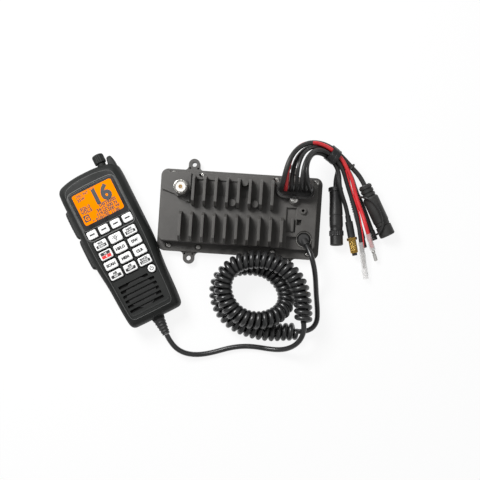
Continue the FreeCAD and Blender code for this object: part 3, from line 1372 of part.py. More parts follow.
def buildKeys():
    for i, x in enumerate(softColumns, start=1):
        buildKey(f"soft_key_{i}", x, "soft_y", "soft_width", "soft_height", "soft_rise")
    places = [(x, y) for y in keyRows for x in keyColumns]
    for i, (x, y) in enumerate(places, start=1):
        buildKey(f"keypad_key_{i:02d}", x, y, "key_width", "key_height", "key_rise")
    power = newBody("power_key")
    sketch = newSketch(power)
    disc(sketch, "0", "0", "power_radius")
    pad(power, sketch, "key_drop + soft_rise")
    roundEdges(power, levelAt("key_drop + soft_rise"), "key_crown")
    seatHandset(power, "power_x", "power_y", "face_height - key_drop")
    for name, low, high in (("talk_key", "talk_low_y", "talk_high_y"),
                            ("side_key", "side_low_y", "side_high_y")):
        key = newBody(name)
        sketch = newSketch(key)
        rectangle(sketch, "0", "0", "side_proud + side_depth", f"{high} - {low}")
        pad(key, sketch, "side_high_z - side_low_z")
        outer = number("-(side_proud + side_depth) / 2")

        def isOuter(edge):
            return abs(edge.BoundBox.XMin - outer) < 1e-3 and edge.BoundBox.XLength < 1e-3
        roundEdges(key, isOuter, "side_round")
        seatHandset(key, "-(half_width + side_proud / 2 - side_depth / 2)", f"({low} + {high}) / 2",
                    "side_low_z")


def buildKnob():
    """Fluted channel knob on its shaft."""
    knob = turned("channel_knob", [
        ("0", "-shaft_length"), ("shaft_radius", "-shaft_length"), ("shaft_radius", "0"),
        ("knob_radius - 0.4", "0"), ("knob_radius", "0.4"), ("knob_radius", "knob_length - 1.6"),
        ("knob_radius - 1", "knob_length"), ("0", "knob_length")])
    flutes = newSketch(knob, offset="knob_length")
    for i in range(int(number("flute_count"))):
        angle = f"{i} * 360 / flute_count * 1 deg"
        reach = "(knob_radius + flute_radius * 0.4)"
        disc(flutes, f"{reach} * cos({angle})", f"{reach} * sin({angle})", "flute_radius")
    pocket(knob, flutes, "knob_length - 2")
    seatHandset(knob, "knob_x", "collar_end_y + knob_gap", "knob_z", Vector(0, 1, 0))


def buildBoot():
    """Ribbed strain relief that narrows towards the cord."""
    profile = [("0", "0"), ("boot_radius", "0"), ("boot_radius", "2")]
    count = int(number("boot_ribs"))
    for i in range(count):
        radius = f"(boot_radius - (boot_radius - boot_end_radius) * {i + 1} / boot_ribs)"
        start = f"(2 + (boot_length - 2) * {i} / boot_ribs)"
        pitch = "((boot_length - 2) / boot_ribs)"
        profile += [(f"{radius} - 0.9", f"{start} + {pitch} * 0.1"),
                    (f"{radius} - 0.9", f"{start} + {pitch} * 0.4"),
                    (radius, f"{start} + {pitch} * 0.5"), (radius, f"{start} + {pitch}")]
    boot = turned("cord_boot", profile + [("0", "boot_length")])
    seatHandset(boot, "0", "boot_collar_y", "boot_z", Vector(0, -1, 0))


# ---------------------------------------------------------------- build everything
buildHousing()
buildCover()
buildScrews()
buildAntennaSocket()
buildGlands()
buildMicElbow()
buildFrontShell()
buildBackShell()
buildDisplay()
buildInnards()
buildKeys()
buildKnob()
buildBoot()
tube("mic_cord_run", runRoute, "mic_cord")
tube("mic_cord_coil", coilRoute, "coil_diameter")
tube("mic_cord_tail", tailRoute, "mic_cord")
for name in leads:
    tube(name, leadRoute(name), leads[name][3])
buildTape()
buildRoundPlug()
buildCoaxPlug()
buildPlugs()
buildTerminals()

doc.recompute()
failed = [item.Name for item in doc.Objects if "Invalid" in item.State or "Error" in item.State]
if failed:
    raise RuntimeError(f"failed objects: {failed}")
for item in subparts:
    if item.Shape.isNull() or not item.Shape.isValid():
        raise RuntimeError(f"{item.Label} has no valid shape")
os.makedirs("parts", exist_ok=True)
for item in subparts:
    item.Shape.exportStep(f"parts/{item.Label}.step")
print(f"{len(subparts)} sub-parts written")
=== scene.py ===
import math

import bmesh
import bpy
import numpy as np
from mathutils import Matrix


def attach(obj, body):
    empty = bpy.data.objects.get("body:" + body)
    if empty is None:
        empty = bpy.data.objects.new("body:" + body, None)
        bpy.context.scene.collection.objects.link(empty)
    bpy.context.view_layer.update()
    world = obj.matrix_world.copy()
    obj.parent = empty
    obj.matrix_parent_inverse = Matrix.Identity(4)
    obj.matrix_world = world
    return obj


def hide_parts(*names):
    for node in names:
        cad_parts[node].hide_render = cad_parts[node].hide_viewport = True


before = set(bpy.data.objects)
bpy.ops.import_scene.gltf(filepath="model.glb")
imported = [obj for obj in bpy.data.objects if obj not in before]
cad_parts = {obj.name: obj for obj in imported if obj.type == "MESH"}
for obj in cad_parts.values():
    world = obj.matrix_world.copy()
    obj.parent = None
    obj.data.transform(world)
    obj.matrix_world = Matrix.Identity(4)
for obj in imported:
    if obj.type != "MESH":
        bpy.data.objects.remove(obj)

# Routes of cords are in metres in the shared frame. Every other shape is made in millimetres and scaled
# by mm in addPiece. The handset's pieces are made in its own frame, +Y towards the knob, and seated.
mm = 0.001
tau = 2 * math.pi
scene = bpy.context.scene
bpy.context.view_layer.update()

print("stage: camera, light and table")
cameraValues = {"spot": (0.0325, -0.1027, 0.9), "roll": 3.8, "focal": 58.05, "shift": (-0.046, 0.1354)}
lens = bpy.data.cameras.new("overheadCamera")
lens.lens = cameraValues["focal"]
lens.shift_x, lens.shift_y = cameraValues["shift"]
camera = bpy.data.objects.new("overheadCamera", lens)
camera.location = cameraValues["spot"]
camera.rotation_euler = (0.0, 0.0, math.radians(cameraValues["roll"]))
scene.collection.objects.link(camera)
scene.camera = camera
scene.view_settings.view_transform = "Standard"

lamps = {  # position, target, size, watts
    "windowLight": ((-0.5, 0.44, 0.84), (0.0, -0.03, 0.0), 0.42, 13.0),
    "fillLight": ((0.75, -0.55, 0.85), (0.0, -0.03, 0.0), 0.9, 1.2),
}
for lampName, (spot, target, size, watts) in lamps.items():
    lampData = bpy.data.lights.new(lampName, "AREA")
    lampData.size = size
    lampData.energy = watts
    lamp = bpy.data.objects.new(lampName, lampData)
    lamp.location = spot
    away = np.subtract(target, spot)
    tilt = math.atan2(math.hypot(away[0], away[1]), -away[2])
    lamp.rotation_euler = (tilt, 0.0, math.atan2(away[1], away[0]) - math.pi / 2)
    scene.collection.objects.link(lamp)


def fill(tree, node, inputs):
    # each input takes a number, a colour or another node's output
    for key, value in inputs.items():
        if isinstance(value, bpy.types.NodeSocket):
            tree.links.new(value, node.inputs[key])
        else:
            node.inputs[key].default_value = value


def addNode(tree, kind, inputs=None, **settings):
    node = tree.nodes.new("ShaderNode" + kind)
    for name, value in settings.items():
        setattr(node, name, value)
    fill(tree, node, inputs or {})
    return node


def sums(tree, operation, a, b, clamp=False):
    return addNode(tree, "Math", {0: a, 1: b}, operation=operation, use_clamp=clamp).outputs[0]


def rayShare(tree, *kinds):
    # 1 for a ray of these kinds, 0 for every other
    rays = addNode(tree, "LightPath").outputs
    share = rays[f"Is {kinds[0]} Ray"]
    for kind in kinds[1:]:
        share = sums(tree, "MAXIMUM", share, rays[f"Is {kind} Ray"])
    return share


studio = {
    "skyLight": 0.34, "skySeen": 1.0, "tableSize": 8.0, "tableDrop": 0.0003, "tablePaint": 0.9,
    "tableGlow": 0.88,
}
white = (1, 1, 1, 1)
world = bpy.data.worlds.new("studio")
scene.world = world
world.use_nodes = True
sky = world.node_tree
sky.nodes.clear()
skyLight = addNode(sky, "Background", {"Color": white, "Strength": studio["skyLight"]}).outputs[0]
skySeen = addNode(sky, "Background", {"Color": white, "Strength": studio["skySeen"]}).outputs[0]
skyMix = addNode(sky, "MixShader", {0: rayShare(sky, "Camera"), 1: skyLight, 2: skySeen}).outputs[0]
addNode(sky, "OutputWorld", {"Surface": skyMix})

half = studio["tableSize"] / 2
tableMesh = bpy.data.meshes.new("table")
tableCorners = [(-half, -half, 0), (half, -half, 0), (half, half, 0), (-half, half, 0)]
tableMesh.from_pydata(tableCorners, [], [(0, 1, 2, 3)])
table = bpy.data.objects.new("table", tableMesh)
table.location = (0, 0, -studio["tableDrop"])
scene.collection.objects.link(table)
paleTable = bpy.data.materials.new("paleTable")
paleTable.use_nodes = True
tree = paleTable.node_tree
tree.nodes.clear()
matt = addNode(tree, "BsdfDiffuse", {"Color": (studio["tablePaint"],) * 3 + (1,)}).outputs[0]
lit = addNode(tree, "Emission", {"Strength": 1.0}).outputs[0]
litShare = sums(tree, "MULTIPLY", rayShare(tree, "Camera", "Glossy", "Transmission"), studio["tableGlow"])
tableMix = addNode(tree, "MixShader", {0: litShare, 1: matt, 2: lit}).outputs[0]
addNode(tree, "OutputMaterial", {"Surface": tableMix})
tableMesh.materials.append(paleTable)

print("stage: finishes")


def newGroup(name, takes, gives):
    group = bpy.data.node_groups.new(name, "ShaderNodeTree")
    for label, value in takes.items():
        socket = group.interface.new_socket(label, in_out="INPUT", socket_type="NodeSocketFloat")
        socket.default_value = value
    for label, kind in gives.items():
        group.interface.new_socket(label, in_out="OUTPUT", socket_type="NodeSocket" + kind)
    return group, group.nodes.new("NodeGroupInput").outputs, group.nodes.new("NodeGroupOutput")


def useGroup(tree, group, values):
    return addNode(tree, "Group", values, node_tree=group).outputs


def noiseAt(tree, scale, detail, rough):
    place = addNode(tree, "TexCoord").outputs["Object"]
    values = {"Vector": place, "Scale": scale, "Detail": detail, "Roughness": rough}
    return addNode(tree, "TexNoise", values).outputs["Fac"]


def ramp(tree, value, low, high, toLow=0.0, toHigh=1.0):
    values = {"Value": value, "From Min": low, "From Max": high, "To Min": toLow, "To Max": toHigh}
    return addNode(tree, "MapRange", values).outputs[0]


def mixColours(tree, factor, a, b):
    a, b = (value + (1.0,) if isinstance(value, tuple) else value for value in (a, b))
    return addNode(tree, "Mix", {0: factor, 6: a, 7: b}, data_type="RGBA").outputs[2]


def paler(colour, times, plus=0.0):
    return tuple(min(1.0, c * times + plus) for c in colour)


# grain: fine and coarse noise, as a height, a mask of specks and soft clouds
grainGroup, given, result = newGroup(
    "surfaceGrain", {"Fine Scale": 1500.0, "Coarse Scale": 90.0, "Coarse Share": 0.3},
    {"Height": "Float", "Specks": "Float", "Clouds": "Float"})
fine = noiseAt(grainGroup, given["Fine Scale"], 2.0, 0.6)
coarse = noiseAt(grainGroup, given["Coarse Scale"], 3.0, 0.55)
fill(grainGroup, result, {
    "Height": sums(grainGroup, "ADD", fine, sums(grainGroup, "MULTIPLY", coarse, given["Coarse Share"])),
    "Specks": ramp(grainGroup, fine, 0.6, 0.75), "Clouds": ramp(grainGroup, coarse, 0.3, 0.7)})

# worn edge: where the rounded normal leaves the true one, broken up by noise
edgeGroup, given, result = newGroup(
    "wornEdge", {"Radius": 0.0006, "Wear": 0.5, "Chips Scale": 260.0}, {"Mask": "Float", "Normal": "Vector"})
rounded = addNode(edgeGroup, "Bevel", {"Radius": given["Radius"]}, samples=6).outputs[0]
trueNormal = addNode(edgeGroup, "NewGeometry").outputs["True Normal"]
facing = addNode(edgeGroup, "VectorMath", {0: rounded, 1: trueNormal}, operation="DOT_PRODUCT")
facing = facing.outputs["Value"]
chips = ramp(edgeGroup, noiseAt(edgeGroup, given["Chips Scale"], 4.0, 0.7), 0.35, 0.62)
broken = sums(edgeGroup, "MULTIPLY", ramp(edgeGroup, facing, 0.985, 0.80), chips)
fill(edgeGroup, result, {"Mask": sums(edgeGroup, "MULTIPLY", broken, given["Wear"], True), "Normal": rounded})

# dust: a thin pale film that lies on what faces up, in soft patches
dustGroup, given, result = newGroup("settledDust", {"Amount": 0.06, "Scale": 40.0}, {"Mask": "Float"})
normal = addNode(dustGroup, "NewGeometry").outputs["Normal"]
upward = ramp(dustGroup, addNode(dustGroup, "SeparateXYZ", {0: normal}).outputs["Z"], 0.3, 1.0)
patches = ramp(dustGroup, noiseAt(dustGroup, given["Scale"], 5.0, 0.65), 0.35, 0.75)
settled = sums(dustGroup, "MULTIPLY", upward, patches)
fill(dustGroup, result, {"Mask": sums(dustGroup, "MULTIPLY", settled, given["Amount"], True)})
dustColour = (0.32, 0.31, 0.29)


def finish(name, colour, second=None, rough=0.5, roughSpan=0.08, metal=0.0, fine=1500.0, coarse=90.0,
           bump=0.05, depth=0.00006, edge=0.0, radius=0.0004, worn=None, dust=0.0, coat=0.0, coatRough=0.1,
           glow=0.0, alpha=1.0, shadeAndHighlight=None, specular=0.5):
    # cloudy two-tone colour with specks, fine grain, worn edges and dust; the relief attribute paints shade
    # into what is low and a highlight onto what is high
    material = bpy.data.materials.new(name)
    material.use_nodes = True
    tree = material.node_tree
    grain = useGroup(tree, grainGroup, {"Fine Scale": fine, "Coarse Scale": coarse})
    tint = mixColours(tree, grain["Clouds"], colour, second or paler(colour, 1.25))
    tint = mixColours(tree, sums(tree, "MULTIPLY", grain["Specks"], 0.35), tint, paler(colour, 1.7, 0.004))
    bumps = {"Strength": bump, "Distance": depth, "Height": grain["Height"]}
    # painted shade: darker where the surface sits low; painted highlight: paler where it stands high
    if shadeAndHighlight:
        height = addNode(tree, "Attribute", attribute_name="shadeAndHighlight").outputs["Fac"]
        tint = mixColours(tree, ramp(tree, height, -0.25, -1.0), tint, shadeAndHighlight[0])
        tint = mixColours(tree, ramp(tree, height, 0.15, 1.0), tint, shadeAndHighlight[1])
    if edge:
        wear = useGroup(tree, edgeGroup, {"Radius": radius, "Wear": edge})
        tint = mixColours(tree, wear["Mask"], tint, worn or paler(colour, 3, 0.02))
        bumps["Normal"] = wear["Normal"]
    if dust:
        tint = mixColours(tree, useGroup(tree, dustGroup, {"Amount": dust})["Mask"], tint, dustColour)
    values = {
        "Base Color": tint, "Metallic": metal, "Coat Weight": coat, "Coat Roughness": coatRough,
        "Roughness": ramp(tree, grain["Clouds"], 0.0, 1.0, rough - roughSpan, rough + roughSpan),
        "Specular IOR Level": specular, "Alpha": alpha,
        "Normal": addNode(tree, "Bump", bumps).outputs["Normal"],
    }
    if glow:
        values.update({"Emission Color": tint, "Emission Strength": glow})
    fill(tree, tree.nodes["Principled BSDF"], values)
    return material


finishValues = {
    "castShell": dict(colour=(0.058, 0.0551, 0.0517), second=(0.0766, 0.0731, 0.069), fine=2600, coarse=70,
                      bump=0.9, depth=0.00012, edge=0.75, radius=0.0007, worn=(0.2, 0.195, 0.185), dust=0.05,
                      specular=0.4),
    "baseplate": dict(colour=(0.03, 0.031, 0.031), rough=0.55, fine=1800, bump=0.5, edge=0.4, dust=0.05),
    "screwSteel": dict(colour=(0.62, 0.61, 0.59), second=(0.45, 0.44, 0.42), rough=0.3, metal=1.0, fine=4000,
                       bump=0.15, edge=0.3),
    "nickel": dict(colour=(0.68, 0.66, 0.63), second=(0.5, 0.49, 0.46), rough=0.24, metal=1.0, fine=3000,
                   bump=0.12, edge=0.25),
    "whiteInsulator": dict(colour=(0.84, 0.83, 0.8), second=(0.74, 0.73, 0.7), rough=0.42),
    "goldContact": dict(colour=(0.72, 0.4, 0.1), second=(0.55, 0.3, 0.08), rough=0.25, metal=1.0),
    "darkNut": dict(colour=(0.09, 0.088, 0.085), rough=0.35, metal=0.9, edge=0.7, worn=(0.5, 0.49, 0.47)),
    "blackRubber": dict(colour=(0.013, 0.0132, 0.0135), second=(0.022, 0.022, 0.022), rough=0.52, fine=2200,
                        bump=0.25, edge=0.25, worn=(0.05, 0.05, 0.05), dust=0.05),
    # its relief colours are a painted shade for the key wells and louvre slots and a painted highlight for
    # the raised lip round the panel
    "handsetShell": dict(colour=(0.011, 0.0122, 0.0117), second=(0.0158, 0.0169, 0.0163), rough=0.56,
                         fine=3400, coarse=35, bump=0.5, depth=0.00005, dust=0.02, specular=0.2,
                         shadeAndHighlight=((0.0025, 0.0025, 0.0025), (0.1, 0.1, 0.097))),
    "handsetPlain": dict(colour=(0.0135, 0.0148, 0.0142), second=(0.019, 0.0202, 0.0196), rough=0.56,
                         fine=3400, coarse=35, bump=0.5, depth=0.00005, edge=0.5, radius=0.0006,
                         worn=(0.08, 0.08, 0.078), dust=0.02, specular=0.2),
    "bezelPlastic": dict(colour=(0.075, 0.077, 0.075), second=(0.1, 0.102, 0.1), rough=0.45, bump=0.2,
                         edge=0.6, worn=(0.28, 0.28, 0.27)),
    # painted highlight: a pale band standing for the light line along the face's crease, its edges paler
    # still
    "creasePaintedHighlight": dict(colour=(0.04, 0.0415, 0.0405), second=(0.06, 0.061, 0.06), bump=0.3, edge=0.6,
                          worn=(0.2, 0.2, 0.195)),
    "sideKeyRubber": dict(colour=(0.014, 0.015, 0.0148), rough=0.6, fine=2600, bump=0.4, edge=0.3,
                          worn=(0.06, 0.06, 0.06)),
    "windowBlack": dict(colour=(0.0035, 0.0037, 0.0045), second=(0.005, 0.005, 0.006), rough=0.32, bump=0.01,
                        specular=0.25),
    "amberScreen": dict(colour=(0.6, 0.15, 0.0004), second=(0.66, 0.168, 0.0006), rough=0.6, coarse=25,
                        bump=0.0, glow=0.75, specular=0.0),
    "screenInk": dict(colour=(0.006, 0.009, 0.016), rough=0.4, bump=0.0),
    "boardGreen": dict(colour=(0.01, 0.09, 0.03), rough=0.4, coarse=200, bump=0.2),
    "speakerBlack": dict(colour=(0.008, 0.008, 0.008), rough=0.7, fine=3000, bump=0.6),
    "keyWhite": dict(colour=(0.76, 0.765, 0.76), second=(0.82, 0.82, 0.81), rough=0.42, fine=1200, edge=0.25,
                     radius=0.0003, worn=(0.62, 0.61, 0.59)),
    "keyInk": dict(colour=(0.008, 0.008, 0.009), rough=0.45),
    "keyRed": dict(colour=(0.66, 0.018, 0.02), rough=0.42),
    "cordRubber": dict(colour=(0.0095, 0.0098, 0.0105), second=(0.015, 0.0155, 0.016), rough=0.33,
                       roughSpan=0.05, fine=1600, coarse=60, bump=0.12, dust=0.04, coat=0.35, coatRough=0.28),
    "leadRubber": dict(colour=(0.011, 0.011, 0.0112), second=(0.017, 0.017, 0.017), rough=0.42, coarse=50,
                       bump=0.15, dust=0.05),
    "leadGrey": dict(colour=(0.0165, 0.0163, 0.0157), second=(0.0236, 0.0232, 0.0224), coarse=50, bump=0.15,
                     dust=0.05),
    "redJacket": dict(colour=(0.62, 0.022, 0.03), second=(0.7, 0.035, 0.04), rough=0.36, coarse=60, bump=0.1,
                      coat=0.2, coatRough=0.2),
    "blackTape": dict(colour=(0.011, 0.011, 0.012), second=(0.019, 0.019, 0.02), rough=0.4, fine=900,
                      coarse=160, bump=0.5, depth=0.0001, edge=0.3, worn=(0.06, 0.06, 0.06)),
    "brass": dict(colour=(0.62, 0.40, 0.10), second=(0.48, 0.29, 0.06), rough=0.24, metal=1.0, coarse=140,
                  bump=0.2, edge=0.4, worn=(0.9, 0.72, 0.35)),
    "tinned": dict(colour=(0.74, 0.73, 0.7), second=(0.56, 0.55, 0.53), rough=0.3, metal=1.0, coarse=240,
                   bump=0.4, depth=0.0001),
    "clearSleeve": dict(colour=(0.86, 0.85, 0.84), second=(0.78, 0.77, 0.76), rough=0.14, coarse=320,
                        bump=0.7, depth=0.0002, alpha=0.3, coat=0.5),
}
finishes = {name: finish(name, **values) for name, values in finishValues.items()}

nodeFinish = {  # CAD nodes that stay visible as they are
    "castShell": ["rear_housing"],
    "baseplate": ["base_cover"],
    "nickel": ["mic_gland_ring"],
    "whiteInsulator": ["antenna_socket_insulator"],
    "goldContact": ["antenna_socket_contact"],
    "darkNut": ["antenna_socket_nut"],
    "blackRubber": ["lead_gland_grommet", "mic_gland_grommet", "key_mat"],
    "boardGreen": ["handset_board"],
    "amberScreen": ["lcd_panel"],
    "speakerBlack": ["speaker"],
    "keyWhite": [f"soft_key_{i}" for i in range(1, 5)] + [f"keypad_key_{i:02d}" for i in range(1, 13)]
                + ["power_key"],
    "sideKeyRubber": ["talk_key", "side_key"],
    "leadGrey": ["joint_body", "capped_plug"],
    "leadRubber": ["plug_body", "slim_plug", "coax_plug"],
}
for finishName, members in nodeFinish.items():
    for member in members:
        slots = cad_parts[member].data.materials
        slots.clear()
        slots.append(finishes[finishName])


# A shape is (points in millimetres, list of face arrays).


def gridShape(points):
    # points[row, column, xyz]: quads between neighbours; the last column meets the first
    rows, columns = points.shape[:2]
    a, b = np.meshgrid(np.arange(rows - 1) * columns, np.arange(columns), indexing="ij")
    c = (b + 1) % columns
    corners = [a + b, a + c, a + columns + c, a + columns + b]
    return points.reshape(-1, 3), [np.stack(corners, -1).reshape(-1, 4)]


def turnedShape(profile, steps=64, ripple=None):
    # a profile of (radius, height) carried round +Z; ripple(angle, height) adds to the radius
    profile = np.array(profile, float)
    angle = np.arange(steps) * tau / steps
    radius = np.repeat(profile[:, :1], steps, 1)
    height = np.repeat(profile[:, 1:], steps, 1)
    if ripple is not None:
        radius = np.where(radius > 1e-6, radius + ripple(angle[None, :], height), radius)
    return gridShape(np.stack([radius * np.cos(angle), radius * np.sin(angle), height], -1))


def runMarks(line):
    # distance travelled at each point of a line
    return np.concatenate([[0.0], np.cumsum(np.linalg.norm(np.diff(line, axis=0), axis=1))])


def lineLength(line):
    return float(runMarks(np.array(line))[-1])


def pointsAt(line, wanted):
    # the points of a line at these distances along it
    marks = runMarks(line)
    return np.stack([np.interp(wanted, marks, column) for column in line.T], -1)


def evenProfile(corners, step):
    # a polyline resampled so that no run is longer than step, keeping its corners
    corners = np.array(corners, float)
    marks = runMarks(corners)
    return pointsAt(corners, np.unique(np.concatenate([marks, np.arange(0.0, marks[-1], step)])))


def evenOutline(outline, step):
    # a closed outline resampled at equal runs
    closed = np.concatenate([outline, outline[:1]])
    run = runMarks(closed)[-1]
    return pointsAt(closed, np.linspace(0.0, run, int(run / step), endpoint=False))


def softOutline(x, y, halfX, halfY, corner, steps=7):
    # rounded rectangle: quarter circles about four centres
    turn = (np.linspace(0, math.pi / 2, steps) + np.arange(4)[:, None] * math.pi / 2).ravel()
    side = np.repeat([(1, 1), (-1, 1), (-1, -1), (1, -1)], steps, 0)
    circles = corner * np.stack([np.cos(turn), np.sin(turn)], -1)
    return (x, y) + side * (halfX - corner, halfY - corner) + circles


def arcOutline(x, y, inner, outer, start, end, steps):
    # a band between two radii, from one angle to another
    angle = np.linspace(start, end, steps)
    ring = np.stack([np.cos(angle), np.sin(angle)], -1)
    return np.concatenate([ring * outer, ring[::-1] * inner]) + (x, y)


def slabShape(outline, low, high):
    # an outline given a thickness: a wall and two caps
    count = len(outline)
    points = np.concatenate([np.c_[outline, np.full(count, low)], np.c_[outline, np.full(count, high)]])
    index = np.arange(count)
    after = (index + 1) % count
    wall = np.stack([index, after, after + count, index + count], -1)
    return points, [wall, index[::-1][None, :], (index + count)[None, :]]


def bandShape(outline, half, low, high, soft=0.25):
    # a raised line along a closed outline: a chamfered section carried round it
    along = np.roll(outline, -1, 0) - np.roll(outline, 1, 0)
    out = np.c_[along[:, 1], -along[:, 0]] / np.linalg.norm(along, axis=1)[:, None]
    section = ((half, low), (half, high - soft), (half - soft, high), (soft - half, high),
               (-half, high - soft), (-half, low), (half, low))
    return gridShape(np.stack([np.c_[outline + out * wide, np.full(len(outline), z)] for wide, z in section]))


def joined(shapes):
    points, faces, base = [], [], 0
    for shapePoints, shapeFaces in shapes:
        points.append(shapePoints)
        faces += [face + base for face in shapeFaces]
        base += len(shapePoints)
    return np.concatenate(points), faces


def placed(shape, matrix=np.eye(3), shift=(0, 0, 0)):
    points, faces = shape
    return points @ np.array(matrix, float).T + np.array(shift, float), faces


def spun(angle):
    return (math.cos(angle), -math.sin(angle), 0), (math.sin(angle), math.cos(angle), 0), (0, 0, 1)


def alongAxis(shape, start, end):
    # turn a shape made along +Z to run from one point towards another
    direction = np.array(end, float) - np.array(start, float)
    direction /= np.linalg.norm(direction)
    side = np.cross((0.0, 0.0, 1.0), direction)
    side /= np.linalg.norm(side)
    return placed(shape, np.stack([side, np.cross(direction, side), direction], -1), start)


def smoothStep(value, low, high):
    t = np.clip((value - low) / (high - low), 0, 1)
    return t * t * (3 - 2 * t)


def enter(piece, finishName, body="radio", stands=(), slot=None):
    # link a piece, let it ride on its body and take the place of the CAD nodes that it stands for
    piece.data.materials.append(finishes[finishName])
    scene.collection.objects.link(piece)
    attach(piece, body)
    if stands:
        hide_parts(*stands)
    return piece


def addPiece(name, shape, finishName, angle=35.0, shadeAndHighlight=None, **place):
    points, faces = shape
    mesh = bpy.data.meshes.new(name)
    mesh.from_pydata((points * mm).tolist(), [], [row for block in faces for row in block.tolist()])
    if shadeAndHighlight is not None:
        mesh.attributes.new("shadeAndHighlight", "FLOAT", "POINT").data.foreach_set("value", shadeAndHighlight.astype(np.float32))
    work = bmesh.new()
    work.from_mesh(mesh)
    bmesh.ops.remove_doubles(work, verts=work.verts, dist=2e-7)
    bmesh.ops.recalc_face_normals(work, faces=work.faces)
    work.to_mesh(mesh)
    work.free()
    mesh.shade_smooth()
    mesh.set_sharp_from_angle(angle=math.radians(angle))
    enter(bpy.data.objects.new(name, mesh), finishName, **place)


print("stage: cords")
runRoute = [
    (0.0785, -0.0321, 0.0221), (0.0814, -0.0378, 0.0263), (0.0851, -0.0466, 0.0292),
    (0.0883, -0.0566, 0.0274), (0.0907, -0.0664, 0.0214), (0.0924, -0.0762, 0.0142), (0.0939, -0.086, 0.008),
    (0.0956, -0.096, 0.0046), (0.097, -0.1066, 0.0043), (0.0972, -0.1172, 0.0056), (0.0924, -0.1256, 0.0086),
    (0.0844, -0.12961, 0.0106), (0.0754, -0.1304, 0.0106),
]
coilRoute = [
    (0.0754, -0.1304, 0.0106), (0.064, -0.1314, 0.0106), (0.0518, -0.1328, 0.0106), (0.039, -0.1336, 0.0106),
    (0.026, -0.1322, 0.0106), (0.0122, -0.129, 0.0106), (-0.0012, -0.1229, 0.0106),
    (-0.0114, -0.1129, 0.0106), (-0.0176, -0.1006, 0.0106), (-0.0196, -0.0872, 0.0106),
    (-0.0166, -0.0744, 0.0106), (-0.0084, -0.0652, 0.0106), (0.0034, -0.0606, 0.0106),
    (0.0165, -0.0594, 0.0106), (0.0294, -0.06, 0.0106), (0.0404, -0.0644, 0.0106), (0.0508, -0.0724, 0.0106),
    (0.0576, -0.082, 0.0108), (0.0604, -0.0924, 0.0126), (0.0586, -0.1028, 0.017), (0.0524, -0.111, 0.0228),
    (0.043, -0.117, 0.0284), (0.0302, -0.1206, 0.0316), (0.0166, -0.1199, 0.0322), (0.0052, -0.115, 0.0322),
    (-0.004, -0.107, 0.0322), (-0.0104, -0.0966, 0.0322), (-0.013, -0.085, 0.0322),
    (-0.0114, -0.0728, 0.0322), (-0.0046, -0.0626, 0.0322), (0.0058, -0.0558, 0.0322),
    (0.0184, -0.0524, 0.0322), (0.0314, -0.0516, 0.0322), (0.0442, -0.0542, 0.0322), (0.0564, -0.06, 0.0322),
    (0.0668, -0.0692, 0.0322), (0.074, -0.081, 0.0322), (0.0776, -0.094, 0.0322), (0.079, -0.107, 0.0322),
    (0.0804, -0.1196, 0.032),
]
tailRoute = [
    (0.0804, -0.1196, 0.032), (0.0813, -0.1277, 0.03187), (0.0796, -0.1364, 0.0296),
    (0.0744, -0.1446, 0.0238), (0.0656, -0.1506, 0.0156), (0.0542, -0.1532, 0.0084),
    (0.0412, -0.1528, 0.0044), (0.0276, -0.1514, 0.0036), (0.0134, -0.1516, 0.0035),
    (-0.0018, -0.1546, 0.0035), (-0.0168, -0.16, 0.0035), (-0.0314, -0.1642, 0.004),
    (-0.0454, -0.1654, 0.006), (-0.058, -0.1622, 0.0104), (-0.06846, -0.1536, 0.014),
    (-0.07458, -0.14317, 0.014),
]
